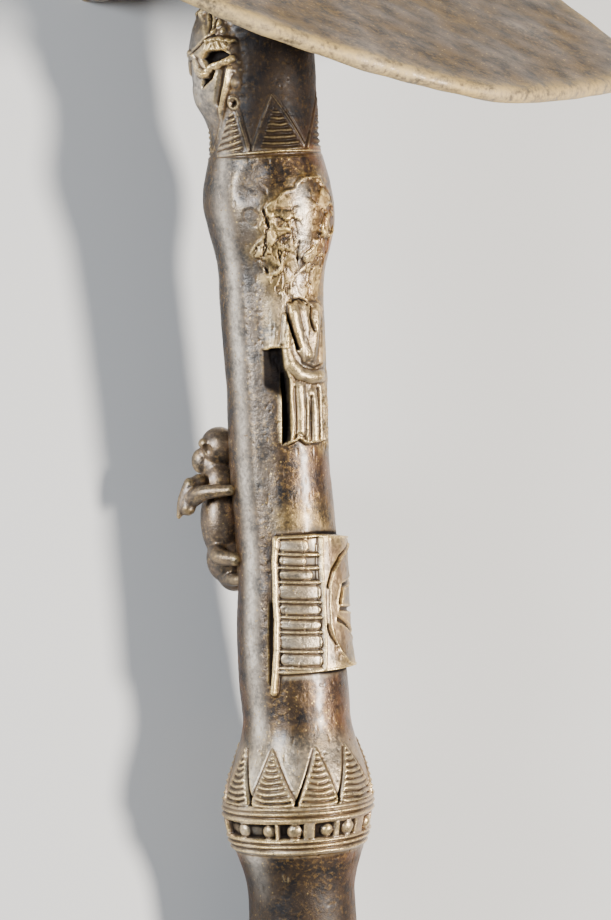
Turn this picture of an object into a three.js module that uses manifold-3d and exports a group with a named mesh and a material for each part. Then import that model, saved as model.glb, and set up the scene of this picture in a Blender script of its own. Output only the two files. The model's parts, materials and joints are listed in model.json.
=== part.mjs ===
// Ceremonial mace, cast in one piece of brass: a round shaft with two toothed collars, a knob with a beast's
// mask, a robed relief figure, a ladder and sun plaque, a small climbing animal, and a half-moon blade
// that leaves the head like the blade of a hoe, with a short curled poll behind it.
// Millimetres. The mace is built upright, butt at z = 0, seen from -Y, and is laid down at the very end.

import * as THREE from "three";
import { mergeVertices } from "three/addons/utils/BufferGeometryUtils.js";
import { ConvexHull } from "three/addons/math/ConvexHull.js";
import Module from "manifold-3d";

const wasm = await Module();
wasm.setup();

// Shaft
const AROUND = 24;                 // facets round the shaft
const HEAD_Z = 441;                // where the blade's underside meets the axis
const HEAD_CROWN = 15;             // rounded end of the shaft above that
const WAIST_Z = 292;               // thinnest place, where the hand would close
const WAIST_R = 14.0;
const END_RISE = 1.2;              // how much thicker the shaft is away from the waist
const END_SPAN = 62;
const BUTT_CHAMFER = 1.4;

const POMMEL = { z: 14, rise: 2.6, below: 14, above: 18 };
const POMMEL_RING = { z: 35, rise: 1.1, half: 2.2 };

// Lower collar: a swelling with upright hatched teeth, a row of bosses and fine mouldings
const LOW_COLLAR = { z: 193, rise: 5.6, below: 26, above: 26 };
const LOW_TEETH = { count: 10, foot: 2.2, height: 15.5, proud: 0.9, turn: -19.5, ridges: 3 };
const LOW_RIM = { drop: 0.6, rise: 1.0, half: 1.4 };
const BOSS_ROW = { drop: 4.8, half: 2.5, depth: 1.1, count: 16, turn: -2, bossR: 1.6 };
const FINE_RING = { first: 8.2, second: 10.6, rise: 0.8, half: 1.0 };

// Upper collar, swelling below it, knob above it
const SWELL = { z: 362, rise: 3.0, below: 22, above: 19 };
const UP_COLLAR_Z = 376.2;
const UP_GROOVE = { depth: 0.7, half: 1.1 };
const UP_TEETH = { count: 6, foot: 1.0, height: 14.5, proud: 0.8, turn: 16.2, ridges: 3 };

// Sideways bow of the axis, to the right, at the collar, the plaque and the swelling
const BOWS = [
  { z: 214, shift: 1.1, reach: 36 },
  { z: 262, shift: 0.8, reach: 26 },
  { z: 352, shift: 0.8, reach: 16 },
];

// Ladder and sun plaque
const PLAQUE = { z: 250.2, height: 39, left: -15, right: 106, thin: 1.0, thick: 3.0, lean: -3.4 };
const RAIL = { width: 1.6, rise: 0.8, tail: 5.5 };
const LADDER = { pads: 8, padHeight: 2.7, left: -7.5, right: 35.5, rise: 0.7 };
const SUN = { turn: 106, outerR: 17.3, innerR: 14.6, coreR: 9.6, bar: 1.1, rise: 0.7, rays: 5 };

// Robed relief figure, whose head is lost under the crust. What is beside it is set from its foot.
const ROBE = { foot: 295.4, height: 39, armsUp: 17.2, turn: 47, halfTurn: 35, rise: 2.6, armR: 2.0, folds: 5 };
const WING = { aside: -44, halfTurn: 12, lipUp: 26.8, topUp: 37.6, rise: 0.9 };
const HOLLOW = { aside: -46, halfTurn: 12, footUp: 16.1, topUp: 26.4, depth: 1.3 };
const CHANNEL = { aside: -38.5, halfTurn: 4.2, footUp: 0.2, depth: 1.2 };

// Crust and thumb-shaped hollow, set from the swelling's middle
const CRUST = { up: 4, down: 26, left: -7, right: 74, rise: 0.8 };
const THUMB = { up: 7, turn: -10, wide: 17, tall: 17, depth: 1.3 };

// Beast's mask on the knob
const MASK = { z: 402, turn: -74, bulge: 9.4, wide: 12.5, tall: 18, set: 10.6 };
const MOUTH = { up: 1.8, from: -30, to: 44, gape: 2.8, into: 0.3 };

// Climbing animal on the back left
const CLIMBER = { foot: 253.5, height: 46.5, turn: -112 };

// Blade and poll
const BLADE = { droop: 30.6, bearing: 33, thickness: 4.6, rounding: 1.3, reach: 109, back: 8 };
const BLADE_WIDE_SIDE = 108;       // half width on the side towards the viewer
const BLADE_NARROW_SIDE = 101;     // half width on the far side
const BLADE_ROOT = { topR: 18, footR: 30, height: 11 };
const POLL = { reach: 52, hang: 19, rootR: 9.5, tipR: 5.6, arch: 7 };

// Small flat spots where it lies
const REST_FLAT = 0.5;

const BRASS = new THREE.MeshStandardMaterial({ color: 0x6f5a3c, roughness: 0.45, metalness: 0.85 });
BRASS.name = "aged_brass";

const CLEAR_OF_SKIN = 5;           // how far a cutting shape stands out of the surface that it cuts

const radians = THREE.MathUtils.degToRad;
const clamp = THREE.MathUtils.clamp;

// Solids and joins

function solidOf(geometry) {
  const bare = geometry.clone();
  bare.deleteAttribute("normal");
  bare.deleteAttribute("uv");
  const merged = mergeVertices(bare, 1e-4);
  const index = merged.index.array;
  const faces = [];
  for (let i = 0; i < index.length; i += 3) {
    const [a, b, c] = [index[i], index[i + 1], index[i + 2]];
    if (a !== b && b !== c && c !== a) faces.push(a, b, c);
  }
  const solid = new wasm.Manifold(new wasm.Mesh({
    numProp: 3,
    vertProperties: new Float32Array(merged.attributes.position.array),
    triVerts: new Uint32Array(faces),
  }));
  return solid;
}

function geometryOf(solid) {
  const mesh = solid.getMesh();
  const geometry = new THREE.BufferGeometry();
  geometry.setAttribute("position", new THREE.BufferAttribute(mesh.vertProperties, 3));
  geometry.setIndex(new THREE.BufferAttribute(mesh.triVerts, 1));
  return geometry;
}

const joined = (solids) => solids.reduce((whole, next) => whole.add(next));
const cutBy = (solid, tools) => tools.reduce((rest, tool) => rest.subtract(tool), solid);

function reshaped(geometry, move) {
  const place = geometry.attributes.position;
  const point = new THREE.Vector3();
  for (let i = 0; i < place.count; i += 1) {
    point.fromBufferAttribute(place, i);
    const moved = move(point);
    place.setXYZ(i, moved.x, moved.y, moved.z);
  }
  return geometry;
}

// Shaft: its radius and its bow at any height, and a point on or off its surface

function swelling(z, { z: middle, rise, below, above }) {
  const t = z < middle ? (middle - z) / below : (z - middle) / above;
  return t >= 1 ? 0 : rise * Math.cos(t * Math.PI / 2) ** 2;
}

const ridgeAt = (z, middle, rise, half) => swelling(z, { z: middle, rise, below: half, above: half });

function trough(z, middle, depth, half) {
  return Math.abs(z - middle) <= half ? -depth : 0;
}

const rimZ = LOW_COLLAR.z - LOW_RIM.drop;
const bossZ = LOW_COLLAR.z - BOSS_ROW.drop;
const fineZ = [LOW_COLLAR.z - FINE_RING.first, LOW_COLLAR.z - FINE_RING.second];
const shaftTop = HEAD_Z + HEAD_CROWN;

function bodyRadius(z) {
  const away = Math.min(1, ((z - WAIST_Z) / END_SPAN) ** 2);
  let radius = WAIST_R + END_RISE * away;
  radius += swelling(z, POMMEL) + swelling(z, LOW_COLLAR) + swelling(z, SWELL);
  return radius;
}

function shaftRadius(z) {
  let radius = bodyRadius(z);
  radius += ridgeAt(z, POMMEL_RING.z, POMMEL_RING.rise, POMMEL_RING.half);
  radius += ridgeAt(z, rimZ, LOW_RIM.rise, LOW_RIM.half);
  for (const middle of fineZ) radius += ridgeAt(z, middle, FINE_RING.rise, FINE_RING.half);
  radius += trough(z, bossZ, BOSS_ROW.depth, BOSS_ROW.half);
  radius -= ridgeAt(z, UP_COLLAR_Z, UP_GROOVE.depth, UP_GROOVE.half);
  if (z < BUTT_CHAMFER) radius -= BUTT_CHAMFER - z;
  if (z > HEAD_Z) radius *= Math.sqrt(Math.max(0, 1 - ((z - HEAD_Z) / HEAD_CROWN) ** 2));
  return radius;
}

const bowAt = (z) => BOWS.reduce(
  (sum, bow) => sum + swelling(z, { z: bow.z, rise: bow.shift, below: bow.reach, above: bow.reach }), 0);

// turn is in degrees round the shaft: 0 faces -Y, positive goes towards +X
function around(turn, z, radius) {
  const angle = radians(turn);
  return new THREE.Vector3(bowAt(z) + radius * Math.sin(angle), -radius * Math.cos(angle), z);
}

const onShaft = (turn, z, proud) => around(turn, z, shaftRadius(z) + proud);
const turnFor = (length, z) => THREE.MathUtils.radToDeg(length / bodyRadius(z));

function ringHeights() {
  const heights = [0, BUTT_CHAMFER, shaftTop];
  const between = (from, to, count) => {
    for (let i = 0; i <= count; i += 1) heights.push(from + (to - from) * i / count);
  };
  between(8, POMMEL_RING.z - 2 * POMMEL_RING.half, 2);
  between(POMMEL_RING.z - POMMEL_RING.half, POMMEL_RING.z + POMMEL_RING.half, 2);
  between(LOW_COLLAR.z - LOW_COLLAR.below, fineZ[1] - FINE_RING.half, 3);
  for (const middle of fineZ) heights.push(middle - FINE_RING.half, middle, middle + FINE_RING.half);
  for (const side of [-1, 1]) {
    heights.push(bossZ + side * BOSS_ROW.half, bossZ + side * (BOSS_ROW.half + 0.2));
  }
  between(rimZ - LOW_RIM.half, rimZ + LOW_RIM.half, 2);
  between(LOW_COLLAR.z + 3, LOW_COLLAR.z + LOW_COLLAR.above, 4);
  between(LOW_COLLAR.z + LOW_COLLAR.above + 20, SWELL.z - SWELL.below - 14, 3);
  between(SWELL.z - SWELL.below, UP_COLLAR_Z - UP_GROOVE.half, 6);
  between(UP_COLLAR_Z, UP_COLLAR_Z + UP_GROOVE.half, 1);
  between(UP_COLLAR_Z + 12, HEAD_Z, 3);
  between(HEAD_Z + HEAD_CROWN * 0.4, HEAD_Z + HEAD_CROWN * 0.9, 2);
  const sorted = heights.filter((z) => z >= 0 && z <= shaftTop).sort((a, b) => a - b);
  return sorted.filter((z, i) => i === 0 || z - sorted[i - 1] > 0.15);
}

function shaftSolid() {
  const profile = ringHeights().map((z) => new THREE.Vector2(shaftRadius(z), z));
  profile[profile.length - 1].x = 0;
  profile.unshift(new THREE.Vector2(0, 0));
  const lathe = new THREE.LatheGeometry(profile, AROUND);
  lathe.rotateX(Math.PI / 2);
  return solidOf(reshaped(lathe, (p) => new THREE.Vector3(p.x + (p.x === 0 && p.y === 0 ? 0 : bowAt(p.z)), p.y, p.z)));
}

// A panel wrapped on the shaft. across and along run from -0.5 to 0.5 over the panel;
// placeOf gives its turn and height, proudOf how far its face stands out.
function wrapped(columns, rows, placeOf, proudOf, sunk = 2.2) {
  const panel = new THREE.BoxGeometry(1, 1, 1, columns, rows, 1);
  return solidOf(reshaped(panel, (p) => {
    const { turn, z } = placeOf(p.x, p.y);
    const outer = p.z > 0;
    return onShaft(turn, z, outer ? proudOf(p.x, p.y) : -sunk);
  }));
}

// A hatched tooth: it narrows to its point, with low ridges across
function tooth(turn, footZ, { height, proud, ridges, count }) {
  const rows = ridges * 2;
  const share = 0.94;
  return wrapped(2, rows,
    (x, y) => ({
      turn: turn + x * share * (360 / count) * (1 - 0.93 * (y + 0.5)),
      z: footZ + (y + 0.5) * height,
    }),
    (x, y) => {
      const row = Math.round((y + 0.5) * rows);
      const onEdge = row === 0 || row === rows || Math.abs(x) > 0.4;
      return proud + (onEdge ? -0.15 : (row % 2) * 0.45);
    });
}

const teethRound = (footZ, teeth) => Array.from({ length: teeth.count }, (_, i) =>
  tooth(teeth.turn + i * 360 / teeth.count, footZ, teeth));

const bossRow = () => Array.from({ length: BOSS_ROW.count }, (_, i) => {
  const boss = new THREE.SphereGeometry(BOSS_ROW.bossR, 6, 4);
  boss.translate(...onShaft(BOSS_ROW.turn + i * 360 / BOSS_ROW.count, bossZ, 0.1).toArray());
  return solidOf(boss);
});

// Ladder and sun plaque. v runs up the plaque from its middle, in millimetres.
const leanAt = (v) => -PLAQUE.lean * 2 * v / PLAQUE.height;
const plaqueProud = (turn) => {
  const t = clamp((turn - PLAQUE.left) / (60 - PLAQUE.left), 0, 1);
  return PLAQUE.thin + (PLAQUE.thick - PLAQUE.thin) * t;
};

function plaqueBar(turnFrom, turnTo, vFrom, vTo, rise, columns = 1, rows = 1) {
  return wrapped(columns, rows,
    (x, y) => {
      const v = vFrom + (vTo - vFrom) * (y + 0.5);
      return { turn: turnFrom + (turnTo - turnFrom) * (x + 0.5) + leanAt(v), z: PLAQUE.z + v };
    },
    (x) => plaqueProud(turnFrom + (turnTo - turnFrom) * (x + 0.5)) + rise);
}

// A bar of an arc or ray of the sun, from radius a to b and angle p to q about the sun's middle
function sunBar(a, b, p, q, steps) {
  return wrapped(steps, 1,
    (x, y) => {
      const radius = a + (b - a) * (y + 0.5);
      const angle = radians(p + (q - p) * (x + 0.5));
      const v = clamp(radius * Math.sin(angle), -PLAQUE.height / 2, PLAQUE.height / 2);
      return { turn: SUN.turn - turnFor(radius * Math.cos(angle), PLAQUE.z) + leanAt(v), z: PLAQUE.z + v };
    },
    () => PLAQUE.thick + SUN.rise);
}

function plaqueSolids() {
  const half = PLAQUE.height / 2;
  const railTurn = turnFor(RAIL.width, PLAQUE.z);
  const innerRail = LADDER.right + 0.4 * railTurn;
  const solids = [
    plaqueBar(PLAQUE.left, PLAQUE.right, -half, half, 0, 8, 2),
    plaqueBar(PLAQUE.left, PLAQUE.left + railTurn, -half - RAIL.tail, half, RAIL.rise, 1, 3),
    plaqueBar(innerRail, innerRail + railTurn * 0.7, -half, half, RAIL.rise, 1, 2),
  ];
  const pitch = PLAQUE.height / LADDER.pads;
  for (let i = 0; i < LADDER.pads; i += 1) {
    const v = -half + pitch * (i + 0.5);
    solids.push(plaqueBar(LADDER.left, LADDER.right, v - LADDER.padHeight / 2, v + LADDER.padHeight / 2, LADDER.rise, 2));
  }
  solids.push(sunBar(SUN.outerR - SUN.bar, SUN.outerR, -86, 86, 8));
  solids.push(sunBar(SUN.innerR - SUN.bar, SUN.innerR, -80, 80, 6));
  solids.push(sunBar(SUN.coreR - SUN.bar, SUN.coreR, -85, 85, 4));
  for (let i = 0; i < SUN.rays; i += 1) {
    const angle = -66 + 132 * i / (SUN.rays - 1);
    solids.push(sunBar(SUN.coreR - 0.4, SUN.innerR - 0.3, angle - 3.5, angle + 3.5, 1));
  }
  return solids;
}

// A round limb along a path, with a radius given along it, from 0 at its start to 1 at its end
function limb(points, radiusAt, sides = 8, steps = 6) {
  const path = new THREE.CatmullRomCurve3(points);
  const frames = path.computeFrenetFrames(steps, false);
  const rod = new THREE.CylinderGeometry(1, 1, 1, sides, steps);
  return solidOf(reshaped(rod, (p) => {
    const t = clamp(0.5 - p.y, 0, 1);
    const step = Math.round(t * steps);
    const radius = radiusAt(t);
    return path.getPointAt(t)
      .addScaledVector(frames.normals[step], p.x * radius)
      .addScaledVector(frames.binormals[step], p.z * radius);
  }));
}

const even = (from, to) => (t) => from + (to - from) * t;

function ball(centre, radii, turnZ = 0, wide = 8, tall = 6) {
  const shape = new THREE.SphereGeometry(1, wide, tall);
  shape.rotateX(Math.PI / 2);
  shape.scale(...radii);
  shape.rotateZ(turnZ);
  shape.translate(...centre.toArray());
  return solidOf(shape);
}

// Robed figure in relief
function robeSolids() {
  const { foot, height, armsUp, turn, halfTurn, rise, armR, folds } = ROBE;
  const top = foot + height;
  const arms = foot + armsUp;
  const crown = (x) => Math.sqrt(Math.max(0, 1 - (2 * x) ** 2 * 0.86));
  const chest = wrapped(6, 4,
    (x, y) => ({ turn: turn + x * 2 * halfTurn * (0.86 + 0.14 * (0.5 - y)), z: arms + (y + 0.5) * (top - arms) }),
    (x, y) => rise * crown(x) * (1 - 0.5 * (y + 0.5) ** 3));
  const columns = folds * 2;
  const skirt = wrapped(columns, 1,
    (x, y) => ({ turn: turn + x * 2 * halfTurn * (0.97 - 0.1 * y), z: foot + (y + 0.5) * (arms - foot) }),
    (x) => rise * crown(x) * 0.8 - (Math.round((x + 0.5) * columns) % 2 ? 0.9 : 0) + 0.3);
  const at = (offset, z, proud) => onShaft(turn + offset, z, proud);
  const arm = limb([
    at(-31, arms + 14, 0.4), at(-37, arms + 8, 1.2), at(-33, arms + 3, 1.8), at(-16, arms, 2.6),
    at(4, arms - 0.6, 2.6), at(26, arms + 0.6, 1.2), at(34, arms + 6, 0.2),
  ], even(armR, armR), 6, 8);
  const lapels = [
    limb([at(-29, top - 2, 0.8), at(-20, arms + 11, 2.2), at(-9, arms + 6, 2.6)], even(1.1, 1.3), 6, 3),
    limb([at(13, top - 1, 1.6), at(4, arms + 12, 2.6), at(-5, arms + 6, 2.6)], even(1.1, 1.3), 6, 3),
  ];
  const wing = wrapped(2, 1,
    (x, y) => ({
      turn: turn + WING.aside + x * 2 * WING.halfTurn,
      z: foot + WING.lipUp + (y + 0.5) * (WING.topUp - WING.lipUp),
    }),
    (x, y) => WING.rise * (0.5 - y));
  return [chest, skirt, arm, ...lapels, wing];
}

// A pocket cut into the shaft's surface beside the robed figure
function pocket({ aside, halfTurn, footUp, depth }, topUp) {
  return wrapped(2, 1,
    (x, y) => ({
      turn: ROBE.turn + aside + x * 2 * halfTurn,
      z: ROBE.foot + footUp + (y + 0.5) * (topUp - footUp),
    }),
    () => CLEAR_OF_SKIN, depth);
}

// Uneven crust below the upper collar, with a ragged left edge
function crustSolid() {
  const { up, down, left, right, rise } = CRUST;
  return wrapped(4, 5,
    (x, y) => {
      const ragged = x < 0 ? 4 * Math.sin(23 * y) + 3 * Math.sin(51 * y) : 0;
      return { turn: left + (x + 0.5) * (right - left) + ragged, z: SWELL.z - down + (y + 0.5) * (up + down) };
    },
    (x, y) => rise * (0.65 + 0.35 * Math.sin(17 * x + 29 * y)) * (y > 0.45 || x > 0.4 ? 0.25 : 1));
}

function maskSolids() {
  const at = (aside, up, proud) => onShaft(MASK.turn + aside, MASK.z + up, proud);
  return [
    ball(around(MASK.turn, MASK.z, MASK.set), [MASK.wide, MASK.bulge, MASK.tall], radians(MASK.turn)),
    limb([at(-24, 7, 1.8), at(8, 8.4, 3.0), at(40, 6.6, 0.6)], even(1.5, 1.2), 6, 4),        // brow
    limb([at(-18, -3.4, 3.0), at(14, -1.8, 3.4), at(47, 0, 0.6)], even(1.6, 1.2), 6, 4),     // lower lip
    limb([at(44, -2.5, 0.4), at(37, -9, 0.6), at(30, -14.5, 0.2)], even(1.2, 0.9), 6, 3),    // cheek fold
    ball(at(45.5, -11.8, 0), [1.5, 1.5, 1.5], 0, 8, 5),                                      // coil
  ];
}

function mouthTool() {
  const { up, from, to, gape, into } = MOUTH;
  return wrapped(5, 1,
    (x, y) => ({
      turn: MASK.turn + from + (x + 0.5) * (to - from),
      z: MASK.z + up + y * gape - 2.4 * Math.abs(x),
    }),
    () => MASK.set + CLEAR_OF_SKIN, into);
}

// Climbing animal. out is the distance from the shaft's axis, side is towards the viewer, up is a
// share of its own height.
function climberSolids() {
  const { foot, height, turn } = CLIMBER;
  const size = height / 46.5;
  const angle = radians(turn);
  const outward = new THREE.Vector3(Math.sin(angle), -Math.cos(angle), 0);
  const sideways = new THREE.Vector3(Math.cos(angle), Math.sin(angle), 0);
  const skin = bodyRadius(foot + height / 2);
  const at = (out, side, up) => new THREE.Vector3(0, 0, foot + up * height)
    .addScaledVector(outward, skin + out * size)
    .addScaledVector(sideways, side * size);
  const round = (place, radii) => ball(place, radii.map((r) => r * size), angle);
  const solids = [
    round(at(4.6, 0, 0.86), [5.0, 5.6, 6.6]),      // skull
    round(at(7.2, 0, 0.79), [3.4, 3.6, 3.6]),      // jaw and crown of the neck
    round(at(5.6, 0, 0.68), [4.4, 4.6, 6.0]),      // neck
    round(at(4.2, 0, 0.40), [6.4, 6.4, 12.5]),     // trunk
    round(at(3.4, 0, 0.16), [6.0, 6.2, 6.6]),      // hips
  ];
  for (const side of [-1, 1]) {
    solids.push(
      round(at(8.6, side * 4.2, 0.785), [1.6, 1.8, 2.6]),                                      // ear
      limb([at(8.2, side * 5.0, 0.66), at(10.6, side * 8.2, 0.53), at(10.8, side * 8.8, 0.46)],
        even(2.3 * size, 3.0 * size), 6, 2),                                                   // upper arm
      limb([at(9.8, side * 8.2, 0.55), at(5.0, side * 9.6, 0.60), at(-2.6, side * 8.8, 0.62)],
        even(2.4 * size, 1.9 * size), 6, 3),                                                   // forearm
      limb([at(5.8, side * 4.6, 0.20), at(3.2, side * 8.0, 0.215), at(-3.2, side * 8.6, 0.19)],
        even(2.9 * size, 2.0 * size), 6, 3),                                                   // thigh
      limb([at(4.0, side * 3.0, 0.06), at(-1.0, side * 6.0, 0.03), at(-4.0, side * 6.6, 0.05)],
        even(2.2 * size, 1.6 * size), 6, 2),                                                   // shin and foot
    );
  }
  const socket = [-1, 1].map((side) => round(at(5.2, side * 6.4, 0.86), [2.4, 2.2, 3.2]));
  return { solids, socket };
}

// Blade: e1 runs across it, towards the viewer, e2 along it, away from the shaft, and normal out of its top
const bladeNormal = new THREE.Vector3(
  Math.sin(radians(BLADE.droop)) * Math.cos(radians(BLADE.bearing)),
  -Math.sin(radians(BLADE.droop)) * Math.sin(radians(BLADE.bearing)),
  Math.cos(radians(BLADE.droop)));
const bladeAlong = new THREE.Vector3(
  Math.cos(radians(BLADE.droop)) * Math.cos(radians(BLADE.bearing)),
  -Math.cos(radians(BLADE.droop)) * Math.sin(radians(BLADE.bearing)),
  -Math.sin(radians(BLADE.droop)));
const bladeAcross = new THREE.Vector3().crossVectors(bladeAlong, bladeNormal);
const bladePlace = new THREE.Matrix4().makeBasis(bladeAcross, bladeAlong, bladeNormal)
  .setPosition(0, 0, HEAD_Z);

function bladeOutline() {
  const wide = BLADE_WIDE_SIDE;
  const narrow = BLADE_NARROW_SIDE;
  const reach = BLADE.reach;
  const curve = new THREE.SplineCurve([
    new THREE.Vector2(wide, -0.5 * BLADE.back),
    new THREE.Vector2(wide, 0.18 * reach),
    new THREE.Vector2(0.92 * wide, 0.46 * reach),
    new THREE.Vector2(0.75 * wide, 0.70 * reach),
    new THREE.Vector2(0.48 * wide, 0.90 * reach),
    new THREE.Vector2(0.20 * wide, reach),
    new THREE.Vector2(-0.30 * narrow, 0.98 * reach),
    new THREE.Vector2(-0.57 * narrow, 0.92 * reach),
    new THREE.Vector2(-0.71 * narrow, 0.75 * reach),
    new THREE.Vector2(-0.80 * narrow, 0.52 * reach),
    new THREE.Vector2(-0.97 * narrow, 0.10 * reach),
    new THREE.Vector2(-narrow, -0.5 * BLADE.back),
  ]);
  const outline = new THREE.Shape(curve.getPoints(27));
  outline.lineTo(-0.96 * narrow, -BLADE.back);
  outline.lineTo(0.96 * wide, -BLADE.back);
  return outline;
}

function bladeSolids() {
  const { thickness, rounding } = BLADE;
  const plate = new THREE.ExtrudeGeometry(bladeOutline(), {
    depth: thickness - 2 * rounding, bevelEnabled: true, bevelThickness: rounding,
    bevelSize: rounding, bevelOffset: -rounding, bevelSegments: 1, steps: 1,
  });
  plate.translate(0, 0, rounding);
  const root = new THREE.CylinderGeometry(BLADE_ROOT.topR, BLADE_ROOT.footR, BLADE_ROOT.height, 14);
  root.rotateX(-Math.PI / 2);
  root.translate(0, 0, thickness / 2 - BLADE_ROOT.height / 2);
  plate.applyMatrix4(bladePlace);
  root.applyMatrix4(bladePlace);
  return [solidOf(plate), solidOf(root)];
}

// Poll: a short curled neck behind the blade, ending in a small two-lobed bud
function pollSolids() {
  const turn = 90 - BLADE.bearing + 180;
  const tipZ = HEAD_Z - POLL.hang;
  const at = (out, z) => around(turn, z, out);
  const neck = limb([
    at(4, HEAD_Z + 2), at(0.45 * POLL.reach, HEAD_Z + POLL.arch), at(0.8 * POLL.reach, HEAD_Z + 0.3 * POLL.arch),
    at(POLL.reach, tipZ + 0.35 * POLL.hang),
  ], even(POLL.rootR, POLL.tipR), 8, 6);
  const bud = ball(at(POLL.reach + 1, tipZ + POLL.tipR * 0.9), [7.6, 6.2, 6.4], radians(turn));
  const lobe = ball(at(POLL.reach + 5, tipZ + 1.6), [3.4, 3.4, 3.0], 0, 8, 5);
  return [neck, bud, lobe];
}

function maceSolid() {
  const climber = climberSolids();
  const thumb = ball(onShaft(THUMB.turn, SWELL.z + THUMB.up, CLEAR_OF_SKIN - THUMB.depth),
    [THUMB.wide / 2, CLEAR_OF_SKIN, THUMB.tall / 2], radians(THUMB.turn));
  const shaft = cutBy(
    joined([shaftSolid(), crustSolid(), ...maskSolids()]),
    [pocket(HOLLOW, HOLLOW.topUp), pocket(CHANNEL, HOLLOW.footUp + 1), thumb, mouthTool()]);
  return joined([
    shaft,
    ...teethRound(LOW_COLLAR.z + LOW_TEETH.foot, LOW_TEETH),
    ...teethRound(UP_COLLAR_Z + UP_TEETH.foot, UP_TEETH),
    ...bossRow(),
    ...plaqueSolids(),
    ...robeSolids(),
    cutBy(joined(climber.solids), climber.socket),
    ...bladeSolids(),
    ...pollSolids(),
  ]);
}

// Where the mace comes to rest. Each facet of the hull under which the weight falls is a resting
// place, and the one whose upward side faces the viewer most is used.

function massCentre(geometry) {
  const place = geometry.attributes.position;
  const index = geometry.index.array;
  const centre = new THREE.Vector3();
  const [a, b, c] = [new THREE.Vector3(), new THREE.Vector3(), new THREE.Vector3()];
  let volume = 0;
  for (let i = 0; i < index.length; i += 3) {
    a.fromBufferAttribute(place, index[i]);
    b.fromBufferAttribute(place, index[i + 1]);
    c.fromBufferAttribute(place, index[i + 2]);
    const part = a.dot(new THREE.Vector3().crossVectors(b, c)) / 6;
    volume += part;
    centre.addScaledVector(a.clone().add(b).add(c), part / 4);
  }
  return centre.divideScalar(volume);
}

function restingDown(geometry) {
  const place = geometry.attributes.position;
  const points = [];
  for (let i = 0; i < place.count; i += 1) points.push(new THREE.Vector3().fromBufferAttribute(place, i));
  const hull = new ConvexHull().setFromPoints(points);
  const weight = massCentre(geometry);
  let best = { score: -1, down: new THREE.Vector3(0, 1, 0) };
  for (const face of hull.faces) {
    const corners = [];
    let edge = face.edge;
    do {
      corners.push(edge.head().point);
      edge = edge.next;
    } while (edge !== face.edge);
    const margin = Math.min(...corners.map((corner, i) => {
      const next = corners[(i + 1) % corners.length];
      const inward = new THREE.Vector3().crossVectors(face.normal, next.clone().sub(corner)).normalize();
      return inward.dot(weight.clone().sub(corner));
    }));
    const score = face.normal.y;
    if (margin > 0 && score > best.score) best = { score, down: face.normal.clone(), margin, corners };
  }
  return best;
}

const upright = geometryOf(maceSolid());
const rest = restingDown(upright);

// Laid down: the shaft runs along +Y, as near as the floor allows, head towards +Y
const up = rest.down.clone().negate();
const ahead = new THREE.Vector3(0, 0, 1).projectOnPlane(up).normalize();
const right = new THREE.Vector3().crossVectors(ahead, up);
const lay = new THREE.Matrix4().makeBasis(right, ahead, up).invert();

const laid = upright.clone().applyMatrix4(lay);
laid.computeBoundingBox();
const middle = laid.boundingBox.getCenter(new THREE.Vector3());
laid.translate(-middle.x, -middle.y, -laid.boundingBox.min.z);

// The three places it rests on are worn flat by a shaving of metal
const shaving = new THREE.BoxGeometry(2000, 2000, 20);
shaving.translate(0, 0, REST_FLAT - 10);
const worn = geometryOf(solidOf(laid).subtract(solidOf(shaving)));
worn.translate(0, 0, -REST_FLAT);

const mace = new THREE.Mesh(worn, BRASS);
mace.name = "mace";

const part = new THREE.Group();
part.name = "ceremonial_mace";
part.add(mace);

export default part;
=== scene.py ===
import json
import math

import bpy
import numpy as np
from mathutils import Matrix, Vector


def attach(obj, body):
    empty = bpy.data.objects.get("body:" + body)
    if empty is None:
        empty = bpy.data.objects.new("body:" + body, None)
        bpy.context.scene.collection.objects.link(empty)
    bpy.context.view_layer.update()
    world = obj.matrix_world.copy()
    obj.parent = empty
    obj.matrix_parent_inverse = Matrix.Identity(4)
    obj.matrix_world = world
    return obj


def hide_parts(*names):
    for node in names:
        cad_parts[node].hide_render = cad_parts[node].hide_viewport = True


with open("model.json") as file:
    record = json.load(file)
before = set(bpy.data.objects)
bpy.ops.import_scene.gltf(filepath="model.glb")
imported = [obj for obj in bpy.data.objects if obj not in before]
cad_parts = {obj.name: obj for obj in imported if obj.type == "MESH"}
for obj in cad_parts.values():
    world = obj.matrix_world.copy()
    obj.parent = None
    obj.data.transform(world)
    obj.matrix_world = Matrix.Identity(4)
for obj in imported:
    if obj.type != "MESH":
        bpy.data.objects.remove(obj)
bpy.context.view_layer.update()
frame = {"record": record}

# The mace is modelled upright in millimetres, as it was photographed: its axis is Z from the butt at
# 0, the viewer is at -Y, and a turn round the shaft is in degrees from there towards +X. It is then
# laid down where the frame's mace lies, found from the butt's mounting face.
BUTT = frame["record"]["mounts"][0]
VIEWER_ROLL = math.radians(26.7)

ALONG = -Vector(BUTT["axis"]).normalized()
OVER = Vector((1, 0, 0)).cross(ALONG)
VIEWER = math.cos(VIEWER_ROLL) * OVER - math.sin(VIEWER_ROLL) * Vector((1, 0, 0))
RIGHT = math.cos(VIEWER_ROLL) * Vector((1, 0, 0)) + math.sin(VIEWER_ROLL) * OVER
LAY = Matrix.Translation(BUTT["pos_m"]) @ Matrix(
    [[RIGHT[i], -VIEWER[i], ALONG[i], 0] for i in range(3)] + [[0, 0, 0, 1]]
) @ Matrix.Scale(0.001, 4)

HEAD_Z = 441                          # the blade's underside on the axis
CROWN = 15                            # how far the shaft's domed end rises above it
LOWER_TEETH_FOOT, UPPER_TEETH_FOOT = 195.2, 376.8

# Millimetres on the skin to a degree of turn, at each relief.
SHAFT_DEGREE, CRUST_DEGREE, PLAQUE_DEGREE, MASK_DEGREE, BOSS_DEGREE = 0.28, 0.29, 0.31, 0.33, 0.36


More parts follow.
